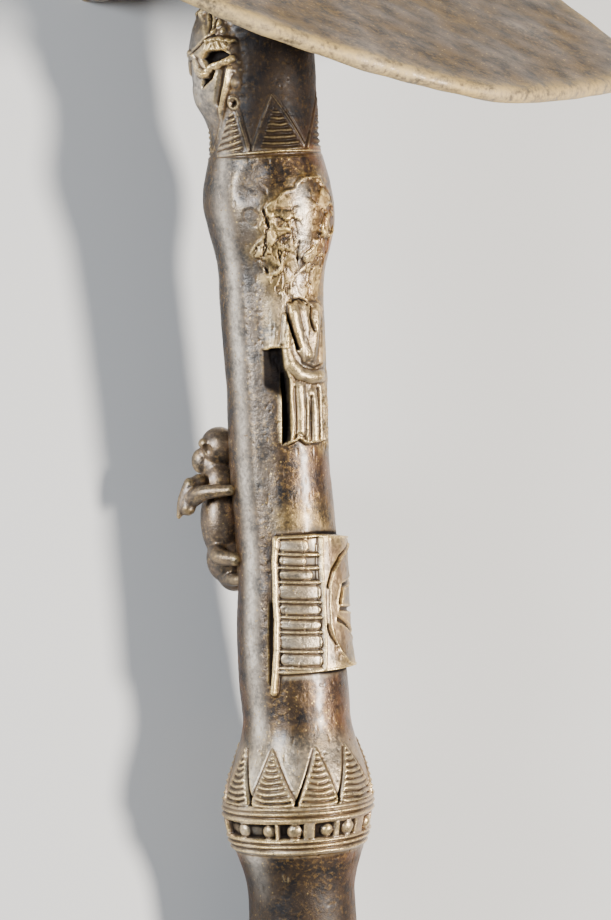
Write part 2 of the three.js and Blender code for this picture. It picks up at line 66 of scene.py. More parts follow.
def swelling(z, middle, rise, below, above):
    """A rounded rise at a height, which runs out within the lengths below and above it."""
    t = np.where(z < middle, (middle - z) / below, (z - middle) / above)
    return np.where(t >= 1, 0.0, rise * np.cos(np.clip(t, 0, 1) * math.pi / 2) ** 2)


def body_radius(z):
    radius = 14.0 + 1.2 * np.minimum(1, ((z - 292) / 62) ** 2)
    radius += swelling(z, 14, 2.6, 14, 18) + swelling(z, 193, 5.6, 26, 26)
    return radius + swelling(z, 362, 3.0, 22, 19)


def bow(z):
    """How far the shaft's middle leans to the right."""
    return swelling(z, 214, 1.1, 36, 36) + swelling(z, 262, 0.8, 26, 26) + swelling(z, 352, 0.8, 16, 16)


def on_skin(turn, z, radius):
    angle = np.radians(turn)
    return np.stack([bow(z) + radius * np.sin(angle), -radius * np.cos(angle), z], axis=-1)


def line_distance(turn, z, points, scale):
    """Distance in mm from a line through points given as (turn, height); scale is mm to a degree."""
    best = np.full(turn.shape, 1e9)
    for (ta, za), (tb, zb) in zip(points, points[1:]):
        across, along = (tb - ta) * scale, zb - za
        t = np.clip(((turn - ta) * scale * across + (z - za) * along) / (across**2 + along**2 + 1e-9), 0, 1)
        best = np.minimum(best, np.hypot((turn - ta) * scale - t * across, z - za - t * along))
    return best


def depth_inside(turn, z, points, scale):
    """Distance in mm inside a closed outline, and below nought outside it."""
    inside = np.zeros(turn.shape, bool)
    ring = points + points[:1]
    for (ta, za), (tb, zb) in zip(ring, ring[1:]):
        if za != zb:
            inside ^= ((za > z) != (zb > z)) & (turn < (tb - ta) * (z - za) / (zb - za) + ta)
    edge = line_distance(turn, z, ring, scale)
    return np.where(inside, edge, -edge)


def soft_step(distance, width):
    t = np.clip(distance / width + 0.5, 0, 1)
    return t * t * (3 - 2 * t)


def bell(value, middle, breadth):
    return np.exp(-0.5 * ((value - middle) / breadth) ** 2)


def band(value, low, high, soft_low, soft_high, scale=1):
    """1 between two limits and 0 beyond them, with soft edges."""
    return soft_step((value - low) * scale, soft_low) * soft_step((high - value) * scale, soft_high)


def misses(z, low, high):
    """Whether the grid has no row between two heights."""
    return not ((z > low) & (z < high)).any()


def ridge(distance, half):
    """A ridge's cross-section: 1 on its line, 0 from half a width away on."""
    return np.cos(np.clip(np.abs(distance) / half, 0, 1) * math.pi / 2) ** 2


def roll(distance, half):
    """A full round bar's cross-section."""
    return np.sqrt(np.clip(1 - (distance / half) ** 2, 0, 1))


def unevenness(turn, z, size, seed):
    """Smooth random values from -1 to 1 in lumps of about size mm."""
    columns = max(3, round(95 / size))
    lattice = np.random.default_rng(seed).uniform(-1, 1, (int(470 / size) + 3, columns))
    u, v = (turn + 180) / 360 * columns, z / size
    i, j = np.floor(u).astype(int), np.floor(v).astype(int)
    fu, fv = u - i, v - j
    fu, fv = fu * fu * (3 - 2 * fu), fv * fv * (3 - 2 * fv)
    a, b = lattice[j, i % columns], lattice[j, (i + 1) % columns]
    c, d = lattice[j + 1, i % columns], lattice[j + 1, (i + 1) % columns]
    return (a * (1 - fu) + b * fu) * (1 - fv) + (c * (1 - fu) + d * fu) * fv


def plates(turn, z, size, seed):
    """Flakes of about size mm: how high each point of them lies, and its distance from a seam in sizes."""
    columns, rows = max(3, round(95 / size)), int(470 / size) + 4
    shift_u, shift_v, level, tilt_u, tilt_v = np.random.default_rng(seed).uniform(-1, 1, (5, rows, columns))
    u, v = (turn + 180) / 360 * columns, z / size
    i, j = np.floor(u).astype(int), np.floor(v).astype(int)
    nearest, second, value = np.full(turn.shape, 9.0), np.full(turn.shape, 9.0), np.zeros(turn.shape)
    for a in (-1, 0, 1):
        for b in (-1, 0, 1):
            cell = (np.clip(j + b, 0, rows - 1), (i + a) % columns)
            du, dv = u - i - a - 0.5 - 0.42 * shift_u[cell], v - j - b - 0.5 - 0.42 * shift_v[cell]
            away = np.hypot(du, dv)
            closer = away < nearest
            second = np.where(closer, nearest, np.minimum(second, away))
            value = np.where(closer, level[cell] + 0.9 * (tilt_u[cell] * du + tilt_v[cell] * dv), value)
            nearest = np.where(closer, away, nearest)
    return value, second - nearest


# Each tooth: the turn of its middle, half its width, its tip's lean, and its slits' depths, left and right.
LOWER_TEETH = [
    (-60.5, 17.6, -2.2, 0.3, 1.5), (-21.6, 19.2, -3.5, 0.3, 0.3), (16.2, 16.6, 1.0, 1.1, 0.25),
    (56, 22.2, -5, 0.9, 0.3), (96, 17.6, 0, 0.6, 0.3), (132, 18, 0, 0.6, 0.3), (168, 18, 0, 0.6, 0.3),
    (-163, 11, 0, 0.6, 0.3), (-134, 18, 0, 0.6, 0.3), (-97.5, 18, 0, 0.6, 0.3)]
UPPER_TEETH = [
    (-41, 25, 9, 0.2, 0.4), (18, 30.6, -8, 0.2, 0.2), (81, 31, 0, 0.4, 0.3), (140, 28, 0, 0.4, 0.3),
    (-163, 28, 0, 0.6, 0.4), (-101, 30, 0, 0.5, 0.4)]


def teeth(turn, z, foot, height, places, scale, pitch, proud, inset, sag, fade_z):
    """Hatched triangles on a collar, with fine borders and slits, and smooth tongues between them."""
    rise = np.zeros(turn.shape)
    sunk = inset > 1                      # the upper collar's hatching lies in a recess
    v = (z - foot) / height
    uneven = unevenness(turn, z, 2.4, 51)
    for middle, half_turn, lean, slit_left, slit_right in places:
        u = ((turn - middle - lean * v + 180) % 360 - 180) / half_turn
        inside = (np.clip(1 - v, 0, 1) ** 0.94 - np.abs(u)) * half_turn * scale * 0.9
        inside = np.where((v < 0) | (v > 1.05), -3, inside)
        slant = 1.6 * u * (sunk and middle < 0)      # the left tooth's lines climb to the right
        drop = slant + sag * np.minimum(1, (u / np.maximum(0.2, 1 - v)) ** 2)
        hatch = 0.5 + 0.5 * np.cos(2 * math.pi * (z - foot - drop + 0.22 * uneven) / pitch)
        within = soft_step(inside - inset - 0.7 * sunk * (u < 0), 0.7) * soft_step(fade_z - z, 3)
        rise += soft_step(inside - 0.4, 0.7) * proud + within * (0.58 + 0.2 * uneven) * (hatch - 0.55)
        fine = 0.7 if sunk else 1
        border = fine * np.where(u > 0, 0.34, 0.26 if slit_left < 0.5 else 0.42)
        rise += border * ridge(inside - 0.15, 0.5 * fine) * (v > 0) * (v < 1)
        slit = np.where(u < 0, slit_left, slit_right)
        wide = np.where(slit > 1.2, 0.75, 0.5)
        cut = ridge((inside + wide + 0.2) / wide, 1.0) * (v > 0.0) * (v < 0.97)
        rise -= slit * np.clip(1.2 - v, 0, 1) * cut
    return rise


# The boss row seen in the photograph: windows as (from, to, depth), bosses as (turn, radius). The rest of the
# row is even, sixteen to the round. Then the rings and grooves, as (height, rise, half their width).
WINDOWS = [(-77, -18.8, 1.75), (-16.8, 4.2, 1.75), (12.3, 29, 1.35), (33, 49.5, 1.1), (60, 75.5, 0.9)]
BOSSES = [(-51.2, 2.3), (-25.0, 2.15), (-3.2, 2.4), (23.2, 1.9), (42.1, 2.25), (67.8, 2.1)]
BOSS_PITCH = 22.5
RINGS = [(194.3, 0.25, 0.5), (193.0, 0.45, 0.6), (191.2, 0.5, 0.7), (185.2, 0.42, 0.55), (183.7, 0.5, 0.6),
         (181.9, 0.42, 0.55)]
GROOVES = [(192.1, 0.3, 0.45), (184.4, 0.35, 0.4), (182.8, 0.45, 0.5), (181.0, 0.2, 0.4)]


def lower_collar(turn, z):
    """Hatched teeth over a row of bosses in sunk windows, between rings."""
    rise = teeth(turn, z, LOWER_TEETH_FOOT, 15.6, LOWER_TEETH, scale=0.345, pitch=1.62, proud=0.4,
                 inset=0.35, sag=0.75, fade_z=215)
    rise -= 0.55 * swelling(z, LOWER_TEETH_FOOT + 0.3, 1.0, 0.8, 4.5) * (rise < 0.1)
    worn_ring = 1 + 0.35 * unevenness(turn, z, 5.0, 52)
    rise += 0.4 * soft_step(LOWER_TEETH_FOOT - z, 0.6) * soft_step(z - 180.9, 0.5)
    for height, up, half in RINGS:
        wander = 0.16 * unevenness(turn, np.full(z.shape, height), 6.0, 53)
        rise += up * worn_ring * ridge(z - height - wander, half)
    for height, down, half in GROOVES:
        rise -= down * ridge(z - height, half)
    tall, ragged = 2.15 - np.abs(z - 188.0), 0.2 * unevenness(turn, z, 1.8, 54) - 0.15
    for start, end, down in WINDOWS:
        window = np.minimum(np.minimum(turn - start, end - turn) * BOSS_DEGREE, tall) + ragged
        rise -= down * soft_step(window, 0.8)
    for middle, radius in BOSSES:
        boss = np.hypot((turn - middle) * BOSS_DEGREE, z - 187.9)
        rise += 1.6 * roll(boss, radius) * (boss < radius)
    far = (turn > 76.75) | (turn < -80.75)
    u = (turn + 2 + BOSS_PITCH / 2) % BOSS_PITCH - BOSS_PITCH / 2
    boss = np.hypot((u - 2.3) * BOSS_DEGREE, z - 187.8)
    window = np.minimum((8.9 - np.abs(u)) * BOSS_DEGREE, tall) + ragged
    return rise + far * (1.6 * roll(boss, 2.15) * (boss < 2.15) - 1.75 * soft_step(window, 0.8))


# The ladder's rails as heights and turns, its rungs as the heights of their ends, and where its pads end.
RAIL = ([226.6, 231.3, 238.6, 246.9, 251.9, 258.6, 263, 269.1],
        [-20.4, -17.4, -13.2, -11.9, -13.3, -13.6, -13.8, -11])
RIGHT_RAIL = ([232.3, 237.6, 244.8, 251.5, 259.9, 269.1], [32.3, 34.1, 35.3, 34.6, 34.3, 36.4])
RUNGS = [(269.6, 269.3), (265.1, 264.3), (261.3, 260.6), (257.3, 256.6), (251.9, 251.1), (247.6, 246.8),
         (243.4, 242.7), (238.0, 237.3), (233.3, 232.6)]
PAD_ENDS = [20, 18.5, 24, 30, 30, 30, 29.5, 29]
PAD_START = 8.4
SUN_END = 105                         # the turn at which the panel and its sun end, out of sight


def plaque(turn, z):
    """The raised panel: a ladder of nine rungs with a pad in each cell, and half a rayed sun beside it."""
    scale = PLAQUE_DEGREE

    def along(points):
        return line_distance(turn, z, points, scale)

    rail, right = np.interp(z, *RAIL), np.interp(z, *RIGHT_RAIL)
    top = 270.0 - 0.034 * np.maximum(0, turn - 30)
    inside = np.minimum(np.minimum(turn - rail, SUN_END - turn) * scale, np.minimum(top - z, z - 231.6))
    panel = soft_step(inside, 0.7)
    rise = panel * (1.0 + 2.0 * np.clip((turn + 15) / 75, 0, 1))
    rise += panel * 0.10 * unevenness(turn, z, 2.2, 5)
    rise += 0.3 * ridge(inside - 0.35, 0.4) * (turn > -8)

    between = soft_step(np.minimum(turn - rail - 3.5, right - 2.5 - turn) * scale, 0.5)
    between *= (z > 232.3) & (z < 269.5)
    rise -= 1.05 * between
    share = (turn + 10) / 40
    heights = [left + (far - left) * share for left, far in RUNGS]
    for i, (upper, lower) in enumerate(zip(heights, heights[1:])):
        rise += (1.3 - 0.15 * (i % 2)) * ridge(z - lower, 0.72) * between
        middle, half = (upper + lower) / 2, (upper - lower) / 2 - 0.85
        centre, reach = (PAD_ENDS[i] - PAD_START) / 2, (PAD_ENDS[i] + PAD_START) / 2 * scale
        over = np.maximum(np.abs(turn - centre) * scale - reach + 0.8, 0)
        pad = half + 0.05 - np.hypot(over, z - middle)
        rise += (0.85 + 0.06 * (i % 3)) * soft_step(pad, 0.8) * between
    rise += 0.75 * ridge((turn - right) * scale, 0.6) * (z > 232) * (z < 269.6)
    rise += 0.4 * ridge((turn - right + 4.0) * scale, 0.35) * (z > 233) * (z < 267)
    rise += 0.35 * ridge(z - heights[0], 0.45) * (turn > -10) * (turn < 37)

    rise = np.maximum(rise, 2.1 * roll(along(list(zip(RAIL[1], RAIL[0]))), 1.15))
    rise = np.maximum(rise, 2.2 * roll(along([(-11, 268.8), (-11.4, 267)]), 1.35))
    rise -= 0.6 * ridge(along([(-19, 251), (-19.4, 243.9), (-21.5, 235), (-23.5, 229)]), 1.0)

    sun = [(SUN_END, 266.2), (89.8, 265.6), (59.6, 262.3), (48.6, 259), (43, 255.2), (41.6, 249.5),
           (42.6, 244.1), (46, 240.3), (53, 236.4), (62, 233.5), (74, 232.0), (SUN_END, 231.4)]
    rise -= 0.25 * soft_step(depth_inside(turn, z, sun, scale), 0.8)
    for rim in ([(89.8, 266.4), (58, 263.0), (45.6, 259.4), (40.2, 255.2)],
                [(38.8, 244.3), (41.6, 241.5), (47, 239.2)]):
        rise -= 1.15 * ridge(along(rim), 0.65)
    rise += 0.6 * ridge(along(sun[1:-1]), 0.55)
    rise += 0.3 * ridge(along([(39.6, 254.5), (38.4, 249.5), (39.2, 244.5)]), 0.4)
    for ray in ([(104, 256.4), (89.4, 255.6), (60.9, 254.6), (55.6, 250.3)], [(56.1, 248.5), (104, 246.6)],
                [(52.1, 245.7), (89.8, 240.3), (104, 238.6)]):
        away = along(ray)
        rise += 0.22 * ridge(away - 1.05, 0.4) - 0.95 * soft_step(0.62 - away, 0.45)
    return rise


# The figure's outline and its arm; then its folds and lapels, as a line, half its width and its rise.
FIGURE = [(17, 334.4), (43, 334.2), (56, 334), (68, 332.5), (74, 326), (79, 316), (80, 312), (80, 296),
          (47, 295.2), (31, 295.1), (22.4, 296.5), (10.4, 295.4), (14.4, 300.4), (13, 307.7), (14.0, 313.0),
          (9.5, 317), (8.4, 321.6), (12, 325.2), (15.9, 330.6)]
ARM = [(15.9, 325.0), (13.4, 321.5), (16.4, 317.8), (25.7, 314.8), (38.7, 313.6), (57.2, 313.7), (72, 313.5),
       (84, 313)]
FOLDS = [
    ([(14.9, 313.0), (14.2, 307.7), (15.2, 300.4), (12.0, 296.2)], 0.95, 1.0),
    ([(24.5, 311), (26.6, 304.6), (25.5, 299.1), (23.5, 297.4)], 2.0, 0.95),
    ([(37.1, 311.6), (33.6, 306.7), (31.8, 300.1), (31.4, 295.9)], 0.7, 0.35),
    ([(40.2, 309), (43.5, 303.7), (42.9, 298.7), (41.6, 295.8)], 1.5, 0.9),
    ([(51, 311), (52.5, 304), (51.5, 296)], 0.9, 0.6), ([(63, 311), (64, 303), (63, 296)], 1.3, 0.8),
    ([(73, 311), (74, 303), (73, 296)], 1.0, 0.5)]
LAPELS = [
    ([(20.4, 333.3), (24.5, 327.4), (28.3, 323.5), (32.2, 319.8)], 1.9, 1.0),
    ([(33.3, 333.3), (36.8, 327.2), (35.0, 320.0)], 1.1, 0.4),
    ([(55.9, 333.3), (48.8, 327.0), (41.1, 319.6)], 1.9, 1.0),
    ([(65, 332), (62, 325), (57.9, 318)], 1.6, 1.0)]


def robed_figure(turn, z):
    """The headless figure in a long folded robe, one arm across its waist, with the hollow beside it."""
    scale = SHAFT_DEGREE

    def along(points):
        return line_distance(turn, z, points, scale)

    lip_z = 321.9 + 0.4 * unevenness(turn, np.full(z.shape, 322), 1.6, 61)
    streaks = 0.05 * np.cos((turn - 0.5 * (z - 322)) * 1.1) + 0.22 * unevenness(turn, z * 0.35, 1.2, 8)
    wing = band(turn, -8, 15.5, 4.5, 1.2, scale) * soft_step(z - lip_z, 0.5)
    rise = wing * soft_step(337 - z, 5) * (1.0 + streaks) * np.clip((337 - z) / 15, 0, 1)
    hollow = soft_step(lip_z - z, 0.55) * soft_step((turn + 10) * scale, 3.4) * (turn < 17)
    hollow *= soft_step(z - 312.6 + 0.16 * (turn + 11), 3.6)
    rise -= 2.0 * hollow * np.clip(0.45 + (z - 309) / 20, 0, 1.0)
    channel = depth_inside(turn, z, [(6.6, 315), (15, 315), (14.0, 296.6), (3.6, 295.3)], scale)
    rise -= 1.7 * soft_step(channel - 0.2, 0.8)
    rise += 0.3 * ridge(along([(4.3, 312.2), (3.7, 304.9), (1.8, 296.1)]), 0.9)

    figure = depth_inside(turn, z, FIGURE, scale) + 0.12 * unevenness(turn, z, 2.0, 62)
    fade = 1 - 0.78 * np.clip((turn - 50) / 22, 0, 1)
    cloth = soft_step(figure, 0.9) * 1.3 * fade * np.clip((336 - z) / 4, 0.3, 1)
    inside = soft_step(figure - 0.2, 0.6) * fade
    for line, half, up in LAPELS + FOLDS:
        away = along(line)
        cloth += 0.8 * up * (0.5 * roll(away, half * 1.1) + 0.5 * ridge(away, half * 1.1)) * inside
    skirt = inside * (z < 312)
    for line in ([(19.5, 311), (19.6, 304), (18.6, 297)], [(30.5, 311), (30.0, 304), (28.6, 297)],
                 [(37.6, 308), (37.6, 303), (36.8, 296)], [(47.5, 310), (48, 303), (47, 296)]):
        cloth -= 0.55 * ridge(along(line), 0.8) * skirt
    cloth -= 0.5 * ridge(along([(15, 296.6), (22.4, 298.0), (30, 296.4)]), 0.8) * skirt
    cloth -= 1.9 * ridge(along([(15.9, 331.0), (20.4, 326.2), (25.6, 321.8)]), 0.85) * (figure > -0.4)
    cloth -= 1.3 * ridge(along([(43.9, 332.8), (41.8, 329.9), (45.0, 326.6)]), 0.75)
    arm = along(ARM)
    half = np.interp(z, [313.5, 318, 325.5], [2.1, 1.8, 1.0])
    raised = (0.6 + 0.95 * half * roll(arm, half + 0.05)) * fade
    raised *= 1 - 0.7 * np.clip((turn - 58) / 14, 0, 1)
    cloth = np.where(arm < half, np.maximum(cloth * 0.4, raised), cloth)
    cuff = along([(21.2, 325.4), (23.6, 321.2), (29.8, 317.7), (43.1, 316.2), (57.9, 317)])
    cloth -= 0.5 * ridge(cuff, 0.5) * fade
    rise = np.where(cloth > 0.02, np.maximum(rise, 0) + cloth, rise)
    rise += 0.8 * ridge(along([(12.9, 331), (10.9, 327.1), (9.4, 323.6)]), 0.9)
    rough = soft_step(depth_inside(turn, z, [(54, 309), (84, 310), (86, 293), (52, 294)], scale), 2)
    lump, seam = plates(turn, z, 1.6, 63)
    return rise + rough * (0.3 * lump - 0.25 * ridge(seam, 0.2))


CRUST = [(26, 367.1), (11.9, 365.2), (-3.1, 361.2), (-7.4, 357.4), (-10, 353.5), (-13.5, 351.5),
         (-22, 348.6), (-13.3, 345.8), (-8, 342), (-2, 339.6), (8, 336.5), (16, 334.6), (60, 334.6),
         (72, 345), (78, 362), (60, 368.8), (37.3, 368.6)]
CRACKS = [
    [(-4.3, 360.2), (-3.0, 357.9), (-2.2, 355.7)], [(-6.3, 350.5), (-9.6, 347.3), (-9.9, 345.4)],
    [(-9.7, 345.1), (-3.6, 343.3)], [(26.8, 351.3), (26.0, 348.4), (29.6, 343.9)],
    [(7.5, 349.2), (10.4, 343.7)], [(13.6, 356.9), (19.4, 354.3)],
    [(23.5, 334.9), (32, 335.4), (40.4, 333.8)], [(60, 352), (57, 346), (62, 341)]]


def crust_flakes(turn, z):
    """Level and seams of the crust's large flakes, then of its small chips."""
    bent_turn = turn + 7 * unevenness(turn, z, 3.1, 25)
    bent_z = z + 1.5 * unevenness(turn, z, 2.7, 26)
    return plates(bent_turn, bent_z, 4.4, 22) + plates(bent_turn, bent_z, 1.9, 24)


def crust_depth(turn, z):
    """Distance in mm inside the crust's ragged outline."""
    if misses(z, 330, 372):
        return np.full(turn.shape, -9.0)
    return depth_inside(turn, z, CRUST, CRUST_DEGREE) + 0.9 * unevenness(turn, z, 2.6, 21)


def swelling_skin(turn, z):
    """Cracked crust over the swelling below the upper collar, and the thumb-shaped hollow above it."""
    scale = CRUST_DEGREE
    depth = crust_depth(turn, z)
    smooth_side = np.clip(line_distance(turn, z, [(31, 368), (32, 352)], scale) / 3.4, 0.1, 1)
    lower = np.clip((366 - z) / 9, 0.2, 1) + np.clip((turn - 45) / 12, 0, 0.8) * (z > 352)
    lower = lower * np.clip((88 - turn) / 24, 0.25, 1)
    flake, seam, chip, chip_seam = crust_flakes(turn, z)
    broken = soft_step(depth - 0.4, 1.4) * smooth_side * lower
    firm = np.clip((z - 342) / 8, 0.1, 1)
    rise = soft_step(depth, 0.9) * 0.3 * firm
    rise += broken * (0.52 * flake + 0.17 * chip - 0.26 * ridge(seam, 0.13) - 0.12 * ridge(chip_seam, 0.16))
    rise += 0.2 * ridge(depth - 0.35, 0.6) * (turn < 30) * (z > 346)
    for crack in CRACKS:
        away = line_distance(turn, z, crack, scale) + 0.55 * unevenness(turn, z, 1.7, 27)
        rise += 0.12 * ridge(away - 0.9, 0.6) - 0.8 * ridge(away, 0.42)
    lip = line_distance(turn, z, [(27.9, 367.2), (37.3, 368.6), (59.8, 368.8)], scale)
    rise += 0.4 * ridge(lip, 0.45)
    thumb = np.hypot((turn + 13 - 1.4 * (z - 368)) * scale / 5.2, (z - 368.4) / 6.4)
    rise -= 0.95 * ridge(thumb, 1.2)
    patch = np.hypot((turn + 16) * scale / 2.4, (z - 358.6) / 2.6) + 0.15 * unevenness(turn, z, 1.5, 28)
    return rise - 0.22 * soft_step(1.0 - patch, 0.4)


def upper_collar(turn, z):
    """Hatched teeth that lie a little sunk, on a ring."""
    rise = teeth(turn, z, UPPER_TEETH_FOOT, 15.4, UPPER_TEETH, scale=0.27, pitch=1.72, proud=0,
                 inset=1.3, sag=0.35, fade_z=387.5)
    rise += 0.4 * ridge(z - 376.5 + 0.012 * np.abs(turn - 16), 0.5)
    return rise - 0.45 * ridge(z - 375.5, 0.8)


MASK_TURN, MASK_MIDDLE = -74, -80       # of the knob and of the face on it
MOUTH = [(-57, 402.6), (-52, 404.2), (-47.8, 404.7), (-36, 404.7), (-29.4, 403.3), (-36, 402.0),
         (-44.7, 401.5), (-51.5, 400.0)]


def mask_radius(turn, z):
    """The knob of the grotesque face, as a distance from the axis."""
    phi = np.radians(turn - MASK_TURN)
    a = np.cos(phi) ** 2 / 8.7**2 + np.sin(phi) ** 2 / 12.2**2
    b = -2 * 10.6 * np.cos(phi) / 8.7**2
    c = (10.6 / 8.7) ** 2 + ((z - 400.5) / 19.5) ** 2 - 1
    inner = b * b - 4 * a * c
    return np.where(inner > 0, (-b + np.sqrt(np.maximum(inner, 0))) / (2 * a), 0)


def near_half(turn):
    """The turn at which the mask's near half shows what its far half repeats."""
    return np.where(turn < MASK_MIDDLE, 2 * MASK_MIDDLE - turn, turn)


def mask_face(turn, z):
    """The grotesque face: open mouth under a ribbed lip, an angular brow, a cheek and a curled fold."""
    if misses(z, 376, 430):
        return np.zeros(turn.shape)
    scale = MASK_DEGREE
    side = near_half(turn)

    def along(points):
        return line_distance(side, z, points, scale)

    def bump(middle, height, radius):
        return ridge(np.hypot((side - middle) * scale, z - height), radius)

    def within(points):
        return depth_inside(side, z, points, scale)

    brow = within([(-82, 404.4), (-82, 413), (-68, 416), (-57, 412.6), (-50, 408.6), (-51, 405.2),
                   (-58, 403.2), (-70, 403.6)])
    lip = within([(-52, 404.6), (-50, 408), (-38, 408.6), (-23, 407.6), (-31, 405), (-36, 404.6)])
    rise = 0.65 * soft_step(brow, 1.2) + 0.85 * soft_step(lip, 1.0)
    fan = np.cos((side + 44 + (z - 404) * 1.6 * np.sign(side + 43)) * 1.25)
    rise += 0.3 * fan * soft_step(lip - 0.2, 0.8)
    rise += 0.7 * ridge(along([(-49, 407.6), (-38.8, 408.0), (-31.3, 407.3), (-23, 407.0)]), 0.8)
    rise -= 3.4 * soft_step(within(MOUTH) - 0.1, 0.9)
    rope = along([(-51.6, 398.9), (-44, 400.4), (-35.9, 401.2), (-26.5, 402.3)])
    rise += 1.25 * roll(rope, 1.05) * (1 + 0.12 * np.cos(side * 1.5))
    jaw = roll(along([(-80, 404.2), (-70, 403.2), (-65.5, 400.9), (-62.2, 399.2), (-52.4, 398.0)]), 1.35)
    rise += (0.9 + 0.5 * np.clip((side + 70) / 12, 0, 1)) * jaw
    notch = within([(-60, 395.0), (-46.5, 397.4), (-43.6, 399.4), (-50.6, 397.5), (-57, 397.0)])
    rise -= 2.0 * soft_step(notch + 0.15, 0.9)
    rise -= 1.0 * ridge(along([(-74, 403.9), (-58.7, 406.1), (-49.6, 408.3), (-44, 408.9)]), 0.55)
    rise -= 1.6 * ridge(along([(-49, 410.3), (-51.6, 413.0), (-55.6, 415)]), 0.95)
    rise -= 0.9 * ridge(along([(-44.2, 413), (-45, 410.7)]), 0.7)
    for middle, height, radius, up in (
            (-67, 416, 2.6, 1.1), (-44.8, 410, 1.4, 0.9), (-35.8, 410.2, 1.8, 0.8),
            (-40.4, 412.2, 1.7, 0.7), (-26.4, 395.8, 2.3, 0.9), (-21.8, 401.2, 0.9, 0.5),
            (-20.3, 399.2, 0.9, 0.4), (-26.6, 399.0, 0.8, 0.4)):
        rise += up * bump(middle, height, radius)
    rise -= 1.1 * ridge(along([(-34.5, 400.0), (-38.2, 395.4), (-44.6, 390.6)]), 1.7)
    fold = along([(-29.8, 399.4), (-33.0, 395.3), (-39.4, 391.1), (-47, 386.3)])
    rise += 1.2 * ridge(fold, 1.2) * soft_step(z - 387, 8)
    rise += 0.7 * bump(-82, 391.5, 7)
    coil = np.hypot((side + 30.0) * scale, z - 390.1)
    rise += 0.95 * ridge(coil - 1.5, 0.8) * (1 + 0.4 * np.sin(np.radians(side * 3))) - 0.8 * ridge(coil, 0.9)
    rise += 0.3 * bump(-31, 390.6, 0.7)
    pitted = 0.12 * unevenness(side, z, 1.5, 71) + 0.14 * unevenness(side, z, 3.2, 72)
    return rise + pitted * soft_step(18 - np.hypot((side + 62) * scale, (z - 400) * 0.8), 6)


def panel_depth(turn, z):
    """Distance in mm inside the plaque's outline."""
    sideways = np.minimum((turn - np.interp(z, *RAIL)) * PLAQUE_DEGREE + 1, (SUN_END - turn) * PLAQUE_DEGREE)
    return np.minimum(sideways, np.minimum(271 - z, z - 230))


def wing_share(turn, z):
    """The smooth patch above the hollow, beside the figure."""
    return band(turn, -9, 16, 4, 2, SHAFT_DEGREE) * band(z, 321.5, 337, 2, 6)


def crust_share(turn, z):
    """Where ochre crust lies: on the broken swelling, flake by flake, and dusted over the sun."""
    flake, _, chip, _ = crust_flakes(turn, z)
    swell = soft_step(crust_depth(turn, z) + 1.6, 4.2) * np.clip(0.50 + 0.38 * flake + 0.30 * chip, 0, 1)
    shares = [
        swell * (1 - 0.8 * bell(turn, 30, 5) * (z > 349)),
        0.6 * wing_share(turn, z),
        0.45 * band(turn, 46, 106, 3, 1, 0.3) * band(z, 232, 268, 2, 3),
        0.5 * band(turn, -14, 80, 5, 5, SHAFT_DEGREE) * bell(z, 272.5, 3.5),
        0.8 * band(turn, 50, 95, 2, 3, SHAFT_DEGREE) * band(z, 292, 345, 4, 8),
        0.30 * soft_step(panel_depth(turn, z), 1.5),
        0.30 * soft_step(depth_inside(turn, z, FIGURE, SHAFT_DEGREE), 1.5),
        0.32 * band(z, 180.5, 213, 1.5, 10),
    ]
    return np.clip(np.maximum.reduce(shares) * (0.8 + 0.3 * unevenness(turn, z, 3.4, 83)), 0, 1)


def shade_and_grime_share(turn, z):
    """Where painted shade lies, near black: in the hollow and the channel beside the figure, in the mouth,
    and as the blade's shadow over the upper collar; with thin grime on the grip.
    """
    clear = 0.5 - depth_inside(turn, z, FIGURE, SHAFT_DEGREE)
    # Painted shade in the hollow under the lip beside the figure.
    hollow = soft_step(321.8 - z, 0.5) * soft_step((turn + 14.5) * SHAFT_DEGREE, 1.4) * (turn < 17)
    hollow *= soft_step(clear - 0.3, 0.5) * soft_step(z - 310.5 + 0.16 * (turn + 11), 3.2)
    # Painted shade down the channel at the left of the figure's skirt.
    channel = depth_inside(turn, z, [(6.4, 316), (15, 316), (13.8, 296.4), (3.4, 295.2)], SHAFT_DEGREE)
    # Painted shade inside the mouth.
    mouth = depth_inside(near_half(turn), z, MOUTH, MASK_DEGREE)
    # Painted shadow of the blade over the upper collar and the shaft above it.
    blade_shadow = 0.85 * soft_step(z - 377, 3) * band(turn, -27, 100, 3.5, 6, SHAFT_DEGREE)
    channel = soft_step(channel, 0.5) * soft_step(clear - 0.1, 0.5)
    # Thin grime on the grip, not shade.
    grip = 0.62 * soft_step(179 - z, 4)
    return np.maximum.reduce([blade_shadow, grip, hollow, channel, soft_step(mouth - 0.2, 0.6)])


def rubbed_and_sheen_share(turn, z):
    """Where hands and cleaning have left the brass pale, and where highlights are painted pale: 1 most, 0 not
    at all.
    """
    shares = [
        # Painted highlight: the pale strip down the left facet.
        bell(turn, -45, 7) * band(z, 172, 385, 16, 20),
        0.24 * bell(turn, -22, 10) * band(z, 272, 380, 16, 20),
        0.3 * wing_share(turn, z),
        (0.52 - 0.36 * (turn > 44)) * soft_step(panel_depth(turn, z), 1.5),
        0.28 * soft_step(depth_inside(turn, z, FIGURE, SHAFT_DEGREE), 1.5),
        0.38 * band(z, 180.5, 212, 1.5, 8),
        # The mask's cheek, worn pale and brightened further as a painted highlight.
        0.8 * bell(np.hypot((turn + 62) * MASK_DEGREE, (z - 397) * 0.8), 0, 7),
        # Painted highlight: the pale streak down the swelling's smooth side.
        0.7 * bell(turn, 31, 5) * band(z, 336, 368, 6, 3),
    ]
    return np.clip(np.maximum.reduce(shares) * (0.75 + 0.25 * unevenness(turn, z, 7, 81)), 0, 1)


def russet_share(turn, z):
    """Where the patina is red-brown, mostly down the right-hand side."""
    edges = bell(turn, 74, 20) + 0.8 * bell(turn, -82, 10) * soft_step(300 - z, 60)
    return np.clip(edges * (0.6 + 0.6 * unevenness(turn, z, 9, 82)), 0, 1)


